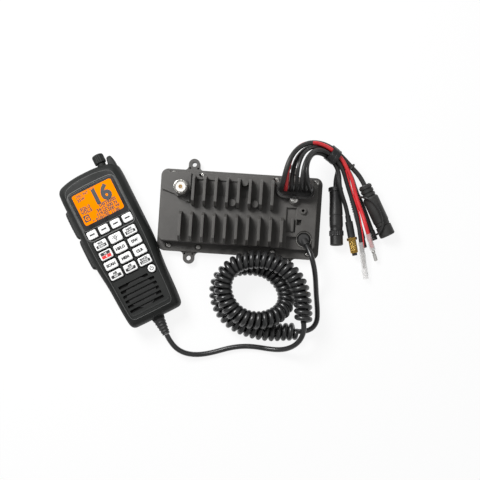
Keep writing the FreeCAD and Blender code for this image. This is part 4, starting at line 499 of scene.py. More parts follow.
leadRoutes = {
    "lead_joint": [
        (0.0447, 0.0284, 0.031), (0.0447, 0.0284, 0.042), (0.04694, 0.03156, 0.053), (0.049, 0.04132, 0.0604),
        (0.05301, 0.0554, 0.0614), (0.06139, 0.07021, 0.0528), (0.07519, 0.0807, 0.0408),
        (0.09341, 0.08222, 0.0298), (0.11027, 0.07241, 0.0232), (0.1236, 0.0606, 0.0186),
        (0.13531, 0.05069, 0.01473), (0.1402, 0.042, 0.014),
    ],
    "lead_red": [
        (0.0503, 0.0284, 0.031), (0.0503, 0.0284, 0.042), (0.05201, 0.03003, 0.05407),
        (0.05339, 0.03958, 0.06399), (0.05709, 0.05557, 0.06611), (0.06579, 0.07088, 0.05667),
        (0.07926, 0.07947, 0.04445), (0.09504, 0.0789, 0.03401), (0.11027, 0.06914, 0.02775),
        (0.118, 0.059, 0.0224), (0.1254, 0.0472, 0.018), (0.1296, 0.0346, 0.0152), (0.1344, 0.0216, 0.0142),
        (0.1402, 0.0088, 0.0142), (0.14453, -0.00374, 0.0159), (0.1482, -0.0127, 0.0134),
    ],
    "lead_capped": [
        (0.0559, 0.0284, 0.031), (0.0559, 0.0284, 0.042), (0.05643, 0.03333, 0.05193),
        (0.05691, 0.04233, 0.05681), (0.05872, 0.05282, 0.05669), (0.06359, 0.06534, 0.04893),
        (0.07344, 0.07684, 0.03715), (0.09037, 0.08012, 0.02559), (0.1074, 0.07086, 0.01865),
        (0.1186, 0.061, 0.0128), (0.126, 0.0506, 0.0082), (0.13107, 0.03904, 0.0046),
        (0.1347, 0.0308, 0.0046),
    ],
    "lead_slim": [
        (0.0615, 0.0284, 0.031), (0.0615, 0.0284, 0.042), (0.0615, 0.0318, 0.053), (0.0613, 0.0406, 0.0604),
        (0.0628, 0.053, 0.0614), (0.068, 0.066, 0.0528), (0.0775, 0.0756, 0.0408), (0.092, 0.0768, 0.0298),
        (0.1074, 0.0676, 0.0232), (0.1164, 0.0576, 0.0166), (0.1216, 0.0476, 0.0112),
        (0.12486, 0.03753, 0.00631), (0.1277, 0.029, 0.006),
    ],
    "lead_black": [
        (0.0671, 0.0284, 0.031), (0.0671, 0.0284, 0.042), (0.06657, 0.03027, 0.05407),
        (0.06569, 0.03887, 0.06399), (0.06688, 0.05318, 0.06611), (0.07241, 0.06666, 0.05667),
        (0.08156, 0.07436, 0.04445), (0.09363, 0.07348, 0.03401), (0.1074, 0.06434, 0.02775),
        (0.1142, 0.0556, 0.022), (0.1194, 0.0426, 0.0178), (0.1252, 0.0288, 0.014), (0.131, 0.0156, 0.0126),
        (0.1356, 0.002, 0.0122), (0.13893, -0.01333, 0.01151), (0.1411, -0.023, 0.0102),
    ],
    "lead_plug": [
        (0.0727, 0.0284, 0.031), (0.0727, 0.0284, 0.042), (0.07099, 0.03357, 0.05193),
        (0.06921, 0.04162, 0.05681), (0.06851, 0.05043, 0.05669), (0.07021, 0.06112, 0.04893),
        (0.07574, 0.07173, 0.03715), (0.08896, 0.0747, 0.02559), (0.10453, 0.06606, 0.01865),
        (0.1096, 0.0584, 0.0144), (0.10733, 0.04607, 0.0086), (0.108, 0.0381, 0.0086),
    ],
    "lead_coax": [
        (0.0783, 0.0284, 0.031), (0.0783, 0.0284, 0.042), (0.07606, 0.03204, 0.053),
        (0.0736, 0.03988, 0.0604), (0.07259, 0.0506, 0.0614), (0.07461, 0.06179, 0.0528),
        (0.07981, 0.0705, 0.0408), (0.09059, 0.07138, 0.0298), (0.10453, 0.06279, 0.0232),
        (0.1102, 0.051, 0.0214), (0.1112, 0.0384, 0.0208), (0.1156, 0.0266, 0.0182),
        (0.12177, 0.0152, 0.00969), (0.124, 0.0065, 0.0092),
    ],
}
strapRoute = [
    (0.136, 0.0277, 0.0081), (0.136, 0.0277, 0.013), (0.1366, 0.0274, 0.0184), (0.1398, 0.0266, 0.0234),
    (0.1452, 0.0246, 0.026), (0.1512, 0.0202, 0.026), (0.1566, 0.014, 0.0248), (0.1606, 0.0068, 0.0234),
    (0.163, -0.001, 0.0224), (0.1628, -0.008, 0.0204), (0.1594, -0.0128, 0.0168), (0.1558, -0.0146, 0.0124),
    (0.1545, -0.0149, 0.0086),
]


def nurbsCurve(name, points, resolution):
    # one open NURBS spline with these control points
    curve = bpy.data.curves.new(name, "CURVE")
    curve.dimensions = "3D"
    curve.resolution_u = resolution
    spline = curve.splines.new("NURBS")
    spline.points.add(len(points) - 1)
    spline.points.foreach_set("co", np.c_[np.array(points, float), np.ones(len(points))].ravel())
    spline.order_u = 3
    spline.use_endpoint_u = True
    return bpy.data.objects.new(name, curve)


def layCord(name, points, diameter, finishName, sides, resolution, **place):
    cord = nurbsCurve(name, points, resolution)
    cord.data.bevel_depth = diameter / 2
    cord.data.bevel_resolution = sides
    cord.data.use_fill_caps = True
    return enter(cord, finishName, **place)


def meshed(holder):
    # the mesh of a curve or a text, with its points; the holder is removed
    scene.collection.objects.link(holder)
    bpy.context.view_layer.update()
    mesh = bpy.data.meshes.new_from_object(holder.evaluated_get(bpy.context.evaluated_depsgraph_get()))
    bpy.data.objects.remove(holder)
    points = np.zeros(len(mesh.vertices) * 3)
    mesh.vertices.foreach_get("co", points)
    return mesh, points.reshape(-1, 3)


curly = {"turns": 73, "perTurn": 12, "outerDiameter": 0.021, "cordDiameter": 0.006, "easedTurns": 0.6}


def curlyPoints(route):
    # helix: centre + radius * (cos(angle) * side + sin(angle) * lift), eased in and out at the ends
    mesh, centre = meshed(nurbsCurve("guide", route, 12))
    bpy.data.meshes.remove(mesh)
    count = curly["turns"] * curly["perTurn"]
    line = pointsAt(centre, np.linspace(0.0, lineLength(centre), count))
    along = np.gradient(line, axis=0)
    along /= np.linalg.norm(along, axis=1)[:, None]
    side = np.cross(along, (0.0, 0.0, 1.0))
    side /= np.linalg.norm(side, axis=1)[:, None]
    lift = np.cross(side, along)
    angle = np.linspace(0.0, tau * curly["turns"], count)
    reach = (curly["outerDiameter"] - curly["cordDiameter"]) / 2 / math.cos(math.pi / curly["perTurn"])
    radius = reach * smoothStep(np.minimum(angle, angle[-1] - angle), 0.0, tau * curly["easedTurns"])
    return line + radius[:, None] * (np.cos(angle)[:, None] * side + np.sin(angle)[:, None] * lift)


# a spline is a little shorter than the runs between its control points
micPoints = runRoute[:-1] + [tuple(p) for p in curlyPoints(coilRoute)] + tailRoute[1:]
micCord = layCord("mic_cord", micPoints, curly["cordDiameter"], "cordRubber", 3, 3,
                  stands=("mic_cord_run", "mic_cord_coil", "mic_cord_tail"))

# each lead: diameter, finish, easing aside at the arch's crown, what is at its end, the pieces on it
leads = {
    "lead_joint": (0.0054, "leadGrey", (-0.001, 0.0016, 0.0041), "connector",
                   ("joint_body", "lead_flange", "tape_laps")),
    "lead_red": (0.0046, "redJacket", (-0.0035, 0.0055, -0.0075), "connector",
                 ("red_spade", "red_stub", "crumpled_sleeves")),
    "lead_capped": (0.0050, "leadRubber", (-0.001, 0.001, -0.003), "connector",
                    ("capped_plug", "cap_ribbed")),
    "lead_slim": (0.0038, "leadRubber", (0.0, 0.002, 0.003), "plug", ("slim_plug",)),
    "lead_black": (0.0046, "leadRubber", (0.001, -0.002, 0.0), "connector", ("black_crimp", "black_stub")),
    "lead_plug": (0.0054, "leadRubber", (0.002, -0.004, -0.003), "plug", ("plug_body", "plug_ring_grip")),
    "lead_coax": (0.0050, "leadRubber", (-0.002, -0.0015, 0.003), "plug", ("coax_plug", "coax_nut_brass")),
}
archShare = (0.0, 0.0, 0.45, 0.85, 1.0, 0.85, 0.4)  # of the easing, for the first control points
for leadName, (thickness, finishName, easing, leadEnd, holders) in leads.items():
    route = leadRoutes[leadName]
    shares = archShare + (0.0,) * len(route)
    route = [tuple(c + share * move for c, move in zip(point, easing)) for point, share in zip(route, shares)]
    lead = layCord(leadName + "_wire", route, thickness, finishName, 4, 9, stands=(leadName,))

print("stage: handset shells")
handset = {  # turn in degrees and place in the shared frame, then its own sizes
    "turn": 30.4, "place": (-131.0, -47.0, 0.0), "halfWidth": 38.5, "halfLength": 92.0, "face": 33.0,
    "faceInset": 9.4, "keyTop": 35.2, "softTop": 34.8, "boot": (0.0, -91.5, 14.0),
    "plan": ((0, -90), (20, -90), (31.5, -89.6), (33.2, -76), (34.2, -56), (34.8, -38), (37.4, -16),
             (38.5, 2), (38.5, 30), (38.5, 60), (38.5, 76), (37.2, 88.2), (24, 92.4), (10, 94), (0, 94)),
}
front = {  # each form: x, y, half width, half height, corner
    "panel": (0.0, -4.5, 27.6, 74.0, 9.0), "panelTop": 15.5, "lipTop": 14.0, "step": 0.5,
    "window": (0.0, 53.0, 28.4, 22.9, 4.0), "windowBow": 1.1, "windowFloor": 32.45,
    "wellRoom": 0.95, "wellCorner": 2.3, "wellFloor": 30.7, "louvreHalf": 1.6, "louvreFloor": 29.4,
    # rings of the plan at (z, inset)
    "rings": ((15.05, 0.7), (15.35, 0.2), (16.0, 0.0), (19.0, 0.25), (22.0, 0.6), (23.55, 0.82),
              (23.85, 0.88), (25.8, 1.35), (27.6, 2.0), (29.2, 2.9), (30.5, 4.0), (31.5, 5.2), (32.25, 6.5),
              (32.7, 7.7), (32.93, 8.7), (33.0, 9.4)),
}
back = {
    "panel": (0.0, 6.0, 25.0, 66.0, 6.0), "panelStep": 0.7, "grip": (0.0, 14.0, 20.0, 40.0, 5.0),
    "gripStep": 0.5, "gripPitch": 4.0, "wellRadius": 3.4, "wellDepth": 2.2,
    "screwWells": ((-23, -74), (23, -74), (-24, 78), (24, 78)),
    "rings": ((15.0, 0.7), (14.7, 0.2), (14.0, 0.0), (12.0, 0.15), (10.0, 0.4), (8.45, 0.7), (8.15, 0.78),
              (6.2, 1.5), (4.4, 2.6), (2.8, 4.0), (1.5, 5.6), (0.6, 7.2), (0.1, 8.6), (0.0, 9.4)),
}
sideWells = {  # spans in y of the two keys' wells, their spans in z and depth, and rows at their ends
    "spans": ((-10.3, 27.5), (28.3, 63.3)), "low": 8.3, "high": 23.7, "from": -30.0, "floor": -34.2,
    "rows": (-10.45, -10.15, 27.35, 27.65, 28.15, 28.45, 63.2, 63.5, 63.8),
}
louvres = [(20.5 if i else 18.0, -42.5 - 5.9 * i, -2.0 if i else -4.5) for i in range(6)]
keypad = [(-18 + 18 * (i % 3), 10.0 - 12.4 * (i // 3), 7.5, 4.9) for i in range(12)]
softKeys = [(x, 24.4, 5.8, 4.7) for x in (-21.9, -7.3, 7.3, 21.9)]
powerKey = (20.8, -38.7, 4.4)


def seat(shape):
    # the handset's own millimetres into the shared frame
    return placed(shape, spun(math.radians(handset["turn"])), handset["place"])


def bSplineLine(control, perSpan=60):
    # quadratic B-spline: three control points weighted by the span's parameter
    control = np.array(control, float)
    a, b, c = control[:-2], control[1:-1], control[2:]
    t = np.linspace(0, 1, perSpan, endpoint=False)[:, None, None]
    line = 0.5 * (1 - t) ** 2 * a + (0.5 + t * (1 - t)) * b + 0.5 * t ** 2 * c
    return line.transpose(1, 0, 2).reshape(-1, 2)


def mirrored(points):
    return [(-x, y) for x, y in points][::-1]


plan = handset["plan"]
edgeLine = bSplineLine(mirrored(plan[1:3]) + list(plan) + mirrored(plan[-3:-1]))
edgeLine = edgeLine[edgeLine[:, 0] >= 0]
shrink = (handset["halfLength"] - handset["faceInset"]) / handset["halfLength"]
sides = {"low": -84.0, "high": 86.0, "rowStep": 0.8, "least": 0.12, "from": 25.0}


def edgeSamples(faceRows):
    # the plan, right half bottom to top, with samples exactly where the face and the side wells have edges
    rows = [np.array(faceRows) / shrink, sideWells["rows"],
            np.arange(sides["low"], sides["high"], sides["rowStep"])]
    rows = np.concatenate(rows)
    rows = np.sort(rows[(rows >= sides["low"]) & (rows <= sides["high"])])
    rows = rows[np.concatenate([[True], np.diff(rows) > sides["least"]])]
    low, high = edgeLine[edgeLine[:, 1] < sides["low"]], edgeLine[edgeLine[:, 1] > sides["high"]]
    low = low[np.argsort(low[:, 0])][::3]
    high = high[np.argsort(-high[:, 0])][::3]
    side = edgeLine[np.argsort(edgeLine[:, 1])]
    side = side[side[:, 0] > sides["from"]]
    right = np.concatenate([low, np.c_[np.interp(rows, side[:, 1], side[:, 0]), rows], high])
    return np.concatenate([right, right[::-1] * (-1, 1)])


def shellShape(rings, columns, faceRows, height):
    # closed half shell: rings of the plan, scaled so that its sides move in by the inset, then the face from
    # the last ring in to a spine, its columns at fixed distances from the middle, and a cap at the seam
    outline = edgeSamples(faceRows)
    size = np.array((handset["halfWidth"], handset["halfLength"]))
    layers = []
    for z, inset in rings:
        x, y = (outline * ((size - inset) / size)).T
        inSpan = np.any([(y > low) & (y < high) for low, high in sideWells["spans"]], axis=0)
        inWell = inSpan & (x < sideWells["from"]) & (sideWells["low"] < z < sideWells["high"])
        layers.append(np.c_[np.where(inWell, np.maximum(x, sideWells["floor"]), x), y, np.full(len(x), z)])
    last = layers[-1][:, :2]
    spine = np.c_[np.zeros(len(last)), np.clip(last[:, 1], sides["low"] * shrink, sides["high"] * shrink)]
    reach = np.abs(last[:, 0])
    reach = np.where(last[:, 1] != spine[:, 1], reach.max(), np.maximum(reach, 1.0))
    for k, column in enumerate(columns):
        share = np.minimum(column / reach, 1.0 - 0.0015 * (k + 1))[:, None]
        flat = spine + (last - spine) * share
        layers.append(np.c_[flat, height(flat[:, 0], flat[:, 1])])
    cap = np.c_[spine, np.full(len(last), rings[0][0])]
    return gridShape(np.stack([cap] + layers))


def boxDistance(x, y, cx, cy, halfX, halfY, corner):
    # signed distance to a rounded rectangle, negative inside
    dx, dy = np.abs(x - cx) - (halfX - corner), np.abs(y - cy) - (halfY - corner)
    return np.hypot(np.maximum(dx, 0), np.maximum(dy, 0)) + np.minimum(np.maximum(dx, dy), 0) - corner


def lowered(z, distance, floor, soft=0.12):
    # drop to a floor inside a distance of zero, over a narrow wall
    return np.minimum(z, floor + (z - floor) * smoothStep(distance, -soft, soft))


def frontHeight(x, y):
    # the flat face, a panel stepped down with a lip round it, then window, key wells and louvres
    z = np.full(x.shape, handset["face"])
    panel = boxDistance(x, y, *front["panel"])
    z = z - front["step"] * smoothStep(-panel, 0.0, 1.2) * (y < front["panelTop"])
    z = z + front["step"] * np.exp(-(np.abs(panel + 0.6) / 0.6) ** 2) * (y < front["lipTop"])
    cx, cy, halfX, halfY, corner = front["window"]
    bow = front["windowBow"] * (x / 28) ** 2
    z = lowered(z, boxDistance(x, y, cx, cy - bow, halfX, halfY, corner), front["windowFloor"])
    room, floor = front["wellRoom"], front["wellFloor"]
    for cx, cy, halfX, halfY in keypad + softKeys:
        z = lowered(z, boxDistance(x, y, cx, cy, halfX + room, halfY + room, front["wellCorner"]), floor)
    z = lowered(z, np.hypot(x - powerKey[0], y - powerKey[1]) - powerKey[2] - 0.9, floor)
    for halfX, cy, cx in louvres:
        z = lowered(z, boxDistance(x, y, cx, cy, halfX, front["louvreHalf"], 1.5), front["louvreFloor"])
    return z


def backHeight(x, y):
    # a stepped panel with a ribbed grip, and four screw wells
    z = back["panelStep"] * smoothStep(-boxDistance(x, y, *back["panel"]), 0.0, 1.0)
    ribs = 0.5 + 0.5 * np.cos(tau * y / back["gripPitch"])
    z = z + back["gripStep"] * smoothStep(-boxDistance(x, y, *back["grip"]), 0.0, 1.2) * ribs
    for cx, cy in back["screwWells"]:
        well = smoothStep(back["wellRadius"] - np.hypot(x - cx, y - cy), -0.15, 0.15)
        z = np.maximum(z, back["wellDepth"] * well)
    return z


def wallPair(edges, room=0.12):
    # a sample on each side of each narrow wall
    return [edge + side * room for edge in edges for side in (-1, 1)]


def spanEnds(middle, half):
    return [middle - half, middle + half]


keyRows = [spanEnds(y, halfY + front["wellRoom"]) for _, y, _, halfY in keypad[::3] + softKeys[:1]]
louvreRows = [spanEnds(y, front["louvreHalf"]) for _, y, _ in louvres]
faceRows = [row for ends in keyRows + louvreRows for row in wallPair(ends)]
faceRows += [30.0, 30.2, 13.9, 14.1, 15.4, 15.6]
faceColumns = set(np.round(np.arange(0.0, 29.0, 0.65), 2)) | {28.28, 28.52, 27.6, 27.0}
for middle, halfSpan in ((0, 8.45), (18, 8.45), (7.3, 6.75), (21.9, 6.75)):
    faceColumns |= {round(column, 2) for column in wallPair(np.abs(spanEnds(middle, halfSpan)))}
frontShell = shellShape(front["rings"], sorted(faceColumns, reverse=True), faceRows, frontHeight)
x, y, z = frontShell[0].T
inFace = boxDistance(x, y, 0, 0, 29.0, 80.0, 6.0) < 0
# relief: below 32.3 mm inside the face (key wells, louvre slots) for painted shade, above 33.12 mm (the
# raised lip) for a painted highlight
shadeAndHighlight = np.where(inFace & (z < 32.3), (z - 32.3) / 1.2, 0.0) + np.where(z > 33.12, (z - 33.12) * 1.4, 0.0)
addPiece("handset_front", seat(frontShell), "handsetShell", 42, np.clip(shadeAndHighlight, -1, 1),
         stands=("front_shell",))
backColumns = list(np.arange(29.0, -0.1, -0.8)) + [0.0]
backShell = shellShape(back["rings"], backColumns, [], backHeight)
addPiece("handset_back", seat(backShell), "handsetShell", 42, stands=("back_shell",))


def archOutline(halfX, low, high, corner, arch, step=0.8):
    # rounded rectangle whose upper edge bows upward by arch * (1 - (x / halfX)^2)
    line = evenOutline(softOutline(0.0, (low + high) / 2, halfX, (high - low) / 2, corner), step)
    upper = np.clip((line[:, 1] - (low + high) / 2) / ((high - low) / 2), 0, 1)
    return line + np.c_[np.zeros(len(line)), arch * (1 - (line[:, 0] / halfX) ** 2) * upper]


bezel = {  # outlines: half width, low and high y, corner, bow; bands: half width, low and high z, chamfer
    "outer": (29.3, 17.1, 76.0, 5.5, 1.6), "outerBand": (0.55, 32.6, 33.95, 0.25),
    "inner": (28.3, 30.3, 74.8, 3.4, 1.4), "innerBand": (0.3, 32.5, 33.3, 0.12),
    "glass": (27.95, 30.6, 74.5, 3.2, 1.35), "glassSpan": (32.46, 33.12),
    "creaseInset": 8.0, "creaseBand": (0.42, 32.3, 33.25, 0.2),
}
bands = [bandShape(archOutline(*bezel[name]), *bezel[name + "Band"]) for name in ("outer", "inner")]
addPiece("bezel_line", seat(joined(bands)), "bezelPlastic")
glass = slabShape(archOutline(*bezel["glass"]), *bezel["glassSpan"])
addPiece("display_window", seat(glass), "windowBlack", stands=("display_lens",))
# the crease ridge takes a paler finish, a painted highlight along the edge of the face
crease = edgeLine[np.argsort(np.unwrap(np.arctan2(edgeLine[:, 1], edgeLine[:, 0] + 1e-4)))][::4]
size = np.array((handset["halfWidth"], handset["halfLength"]))
crease = np.concatenate([crease, crease[::-1] * (-1, 1)]) * ((size - bezel["creaseInset"]) / size)
addPiece("face_crease", seat(bandShape(evenOutline(crease, 1.2), *bezel["creaseBand"])), "creasePaintedHighlight")

print("stage: handset fittings")


def lengthwise(shape, x, y, z):
    # made along +Z, laid along the handset's own +Y from (x, y) at height z
    return seat(placed(shape, ((1, 0, 0), (0, 0, 1), (0, -1, 0)), (x, y, z)))


guard = {"x": 32.4, "z": 21.0, "rings": (  # y, half width, half height, corner
    (72, 4.3, 5.8, 1.2), (90, 4.1, 5.9, 1.6), (94, 3.5, 5.6, 1.9), (96.4, 2.9, 4.9, 2.0),
    (97.6, 2.1, 3.9, 1.7),
    (98.0, 1.0, 2.8, 0.9), (98.0, 0.01, 0.01, 0.005))}


def guardShape():
    # rounded post beside the knob: soft rectangles lofted along y, narrowing to the tip
    rings = []
    for y, halfX, halfZ, corner in guard["rings"]:
        outline = softOutline(guard["x"], guard["z"], halfX, halfZ, corner, steps=8)
        rings.append(np.c_[outline[:, 0], np.full(len(outline), y), outline[:, 1]])
    foot = rings[0].copy()
    foot[:, [0, 2]] = (guard["x"], guard["z"])
    return gridShape(np.stack([foot] + rings))


knob = {
    "collarSpot": (21.0, 87.2, 20.0), "collar": ((0, 0), (4.9, 0), (4.9, 7.0), (4.4, 7.4), (0, 7.4)),
    "spot": (21.0, 94.9, 20.0), "flutes": 12, "fluteDepth": 0.55, "fluteTop": 9.9,
    "profile": ((0, 0), (6.2, 0), (6.7, 0.6), (6.7, 8.6), (6.3, 9.8), (5.2, 10.45), (0, 10.5)),
}


def knobFlutes(angle, height):
    flute = np.abs(np.sin(knob["flutes"] / 2 * angle)) ** 6
    return -knob["fluteDepth"] * flute * smoothStep(knob["fluteTop"] - height, 0, 1.2)


addPiece("knob_guard", seat(guardShape()), "handsetPlain", 50)
addPiece("knob_collar", lengthwise(turnedShape(knob["collar"], 40), *knob["collarSpot"]), "handsetPlain")
knobShape = turnedShape(evenProfile(knob["profile"], 0.5), 144, knobFlutes)
addPiece("knob_cap", lengthwise(knobShape, *knob["spot"]), "handsetPlain", body="channel_knob",
         stands=("channel_knob",))
boot = {
    "rim": ((0, 0), (7.3, 0), (7.5, 0.5), (7.5, 3.0), (0, 3.0)), "pitch": 3.7, "firstRib": 1.6, "depth": 0.75,
    "profile": ((0, 0), (6.7, 0), (7.15, 0.4), (6.9, 3.0), (4.7, 19.0), (4.2, 20.0), (0, 20.0)),
}


def bootRipple(angle, height):
    # grooves between five ribs, fading out at both ends
    rib = 0.5 + 0.5 * np.cos(tau * (height - boot["firstRib"]) / boot["pitch"])
    return boot["depth"] * (rib ** 2 - 1) * smoothStep(height, 0.4, 2.0) * smoothStep(19.6 - height, 0.0, 1.5)


addPiece("boot_collar", lengthwise(turnedShape(boot["rim"], 48), *handset["boot"]), "handsetPlain")
bootShape = placed(turnedShape(evenProfile(boot["profile"], 0.28), 56, bootRipple), np.diag((1, 1, -1)))
addPiece("boot_ribbed", lengthwise(bootShape, *handset["boot"]), "blackRubber", stands=("cord_boot",))

print("stage: screen and key markings")


def textShape(words, x, y, height, low, high, width, bold):
    # letters filled and thickened; their capitals' height, and a line wider than width, brought to size
    letters = bpy.data.curves.new("letters", "FONT")
    letters.body = words
    letters.extrude = 0.5
    letters.offset = bold
    letters.resolution_u = 3
    mesh, points = meshed(bpy.data.objects.new("letters", letters))
    sizes = np.zeros(len(mesh.polygons), int)
    mesh.polygons.foreach_get("loop_total", sizes)
    corners = np.zeros(len(mesh.loops), int)
    mesh.loops.foreach_get("vertex_index", corners)
    bpy.data.meshes.remove(mesh)
    starts = np.concatenate([[0], np.cumsum(sizes)[:-1]])
    faces = [corners[starts[sizes == n][:, None] + np.arange(n)] for n in np.unique(sizes)]
    scale = height / 0.70
    least, most = points[:, 0].min(), points[:, 0].max()
    wide = min(1.0, width / ((most - least) * scale))
    flat = np.c_[(points[:, 0] - (least + most) / 2) * scale * wide + x, (points[:, 1] - 0.35) * scale + y]
    return np.c_[flat, np.where(points[:, 2] > 0, high, low)], faces


screen = {  # the lit screen: x, y, half width, half height, corner; heights of glow and print
    "glow": (0.0, 54.6, 24.2, 18.4, 2.4), "low": 33.12, "high": 33.16, "ink": 33.19, "badge": 33.21,
    "words": (  # words, x, y, height, widest, bold
        ("16", 8.6, 61.4, 16.6, 25.0, 0.045), ("DSC INT", -12.4, 70.0, 2.8, 15.0, 0.03),
        ("W INT", 0.6, 71.2, 2.0, 7.5, 0.03), ("25W", -15.6, 65.6, 3.2, 11.0, 0.035),
        ("SQL:3", -16.0, 55.2, 3.5, 13.5, 0.04), ("VOL:5", -16.0, 50.8, 3.5, 13.5, 0.04),
        ("DISTRESS", 9.8, 50.6, 3.5, 25.5, 0.04), ("34:12.500 N", 7.0, 46.2, 3.5, 31.0, 0.04),
        ("119:20.500 W", 7.0, 41.9, 3.5, 31.0, 0.04), ("01/01/30  11:30", 4.0, 37.9, 3.2, 34.0, 0.035)),
    "blocks": ((-19.0, 43.6, 3.5, 3.9, 0.3, 3), (-13.6, 38.0, 1.2, 0.5, 0.3, 3)),
}
glow = slabShape(softOutline(*screen["glow"]), screen["low"], screen["high"])
addPiece("display_glow", seat(glow), "amberScreen")
ink = [textShape(words, x, y, height, screen["high"], screen["ink"], widest, bold)
       for words, x, y, height, widest, bold in screen["words"]]
ink += [slabShape(softOutline(*block), screen["high"], screen["ink"]) for block in screen["blocks"]]
addPiece("display_ink", seat(joined(ink)), "screenInk")
badge = textShape("G", -19.0, 43.6, 5.0, screen["ink"], screen["badge"], 5.4, 0.04)
addPiece("display_badge", seat(badge), "amberScreen")

keyWords = (  # upper print, words on the black band
    ("WX", "SCRM"), (None, None), ("NAV", "MARK"), ("16", "9"), ("HI/LO", None), ("DW", None),
    ("SCAN", None), ("MEM", None), ("CLR", None), ("NB", "INT"), ("AIS", "WPT"), ("BACK", "LOCK"),
)
keyPrint = {"low": handset["keyTop"], "high": handset["keyTop"] + 0.03, "word": handset["keyTop"] + 0.05}


def printBar(x, y, halfX, halfY, corner=0.6, steps=4):
    return slabShape(softOutline(x, y, halfX, halfY, corner, steps), keyPrint["low"], keyPrint["high"])


def printWords(words, x, y, height, width, bold):
    return textShape(words, x, y, height, keyPrint["low"], keyPrint["high"], width, bold)


def wordsOnBar(words, x, y, height, width):
    return textShape(words, x, y, height, keyPrint["high"], keyPrint["word"], width, 0.045)


def lampSign(x, y):
    # a ring with two short bars below and five rays
    hoop = arcOutline(x, y + 0.6, 1.0, 1.9, 0.0, tau * 0.999, 28)
    ring = slabShape(hoop, keyPrint["low"], keyPrint["high"])
    bars = [printBar(x, y - 2.1 - 0.85 * k, 1.0 - 0.25 * k, 0.3, 0.2, 3) for k in range(2)]
    ray = printBar(3.1, 0.0, 0.6, 0.3, 0.1, 3)
    return [ring] + bars + [placed(ray, spun(turn), (x, y + 0.6, 0)) for turn in np.arange(5) * math.pi / 4]


for number, ((upper, lower), (x, y, _, _)) in enumerate(zip(keyWords, keypad), 1):
    black, words, red = [], [], []
    if upper is None:
        black = lampSign(x, y)
    elif number == 4:
        black, red = [printBar(x, y + 1.9, 5.6, 1.75)], [printBar(x, y - 1.9, 5.6, 1.75)]
        words = [wordsOnBar(upper, x, y + 1.9, 2.3, 6.0), wordsOnBar(lower, x, y - 1.9, 2.3, 6.0)]
    elif lower:
        black = [printWords(upper, x, y + 2.3, 2.4, 9.6, 0.06), printBar(x, y - 1.35, 5.9, 1.75)]
        words = [wordsOnBar(lower, x, y - 1.35, 2.1, 9.6)]
    else:
        black = [printWords(upper, x, y, 3.0, 11.0, 0.07)]
    key = f"keypad_key_{number:02d}"
    for label, shapes, finishName in (("ink", black, "keyInk"), ("word", words, "keyWhite"),
                                      ("red", red, "keyRed")):
        if shapes:
            addPiece(f"{key}_{label}", seat(joined(shapes)), finishName, body=key)
dashSpan = (handset["softTop"], handset["softTop"] + 0.03)
for number, (x, y, _, _) in enumerate(softKeys, 1):
    dash = slabShape(softOutline(x, y, 3.1, 0.85, 0.3, 4), *dashSpan)
    addPiece(f"soft_key_{number}_ink", seat(dash), "keyInk", body=f"soft_key_{number}")
x, y, _ = powerKey
powerSign = (arcOutline(x, y, 1.5, 2.25, math.radians(125), math.radians(415), 32),
             softOutline(x, y + 1.6, 0.36, 1.2, 0.12, 3))
powerInk = joined([slabShape(line, *dashSpan) for line in powerSign])
addPiece("power_key_ink", seat(powerInk), "keyInk", body="power_key")

# low and high y, pitch of the ribs
sideKeys = {"talk_key": (28.6, 62.6, 3.3), "side_key": (-10.0, 27.2, 2.6)}
sideBar = {
    "wall": -35.9, "z": 16.0, "halfZ": 7.5, "corner": 3.2, "bow": 0.5, "rib": 0.28,
    "steps": ((0.0, 0.0), (2.6, 0.0), (3.6, 0.35), (4.3, 1.0), (4.75, 2.0), (4.9, 3.0)),  # out, inset
}


def sideKeyShape(low, high, pitch):
    # soft bar: a rounded rectangle in y and z lofted outward along -x, its outer face bowed and ribbed
    middle, half = (low + high) / 2, (high - low) / 2
    outline = softOutline(middle, sideBar["z"], half, sideBar["halfZ"], sideBar["corner"], steps=10)
    outline = evenOutline(outline, 0.45) - (middle, sideBar["z"])
    size = np.array((half, sideBar["halfZ"]))
    layers = [(out, outline * ((size - inset) / size)) for out, inset in sideBar["steps"]]
    out, rim = layers[-1]
    layers += [(out, rim * (1, share)) for share in np.linspace(0.9, 0.0, 18)]
    rings = []
    for out, line in layers:
        y, z = line.T
        bow = sideBar["bow"] * (1 - (y / half) ** 2) * (out > 3)
        flat = smoothStep(5.2 - np.abs(z), 0, 1) * smoothStep(half - 3.2 - np.abs(y), 0, 1)
        ribs = sideBar["rib"] * np.cos(tau * y / pitch) * flat * (out > 4.5)
        rings.append(np.c_[sideBar["wall"] - out - bow - ribs, middle + y, sideBar["z"] + z])
    foot = rings[0].copy()
    foot[:, 2] = sideBar["z"]
    return gridShape(np.stack([foot] + rings))


for keyName, values in sideKeys.items():
    addPiece(keyName + "_pad", seat(sideKeyShape(*values)), "sideKeyRubber", 50, body=keyName,
             stands=(keyName,))

print("stage: transceiver fittings")
screws = {  # radius, height, dome, half width and depth of the cross
    "cover": (2.9, 2.2, 0.8, 1.75, 1.1), "gland": (4.5, 3.2, 1.1, 2.7, 1.6), "glandSpot": (60.5, 18.7, 27.0),
    "spots": [(x, 41.0, 14.0) for x in (-78.0, -45.0, 40.0, 85.5)]
             + [(x, -41.0, 6.8) for x in (-80.0, -45.5, 40.0, 81.0)],
}


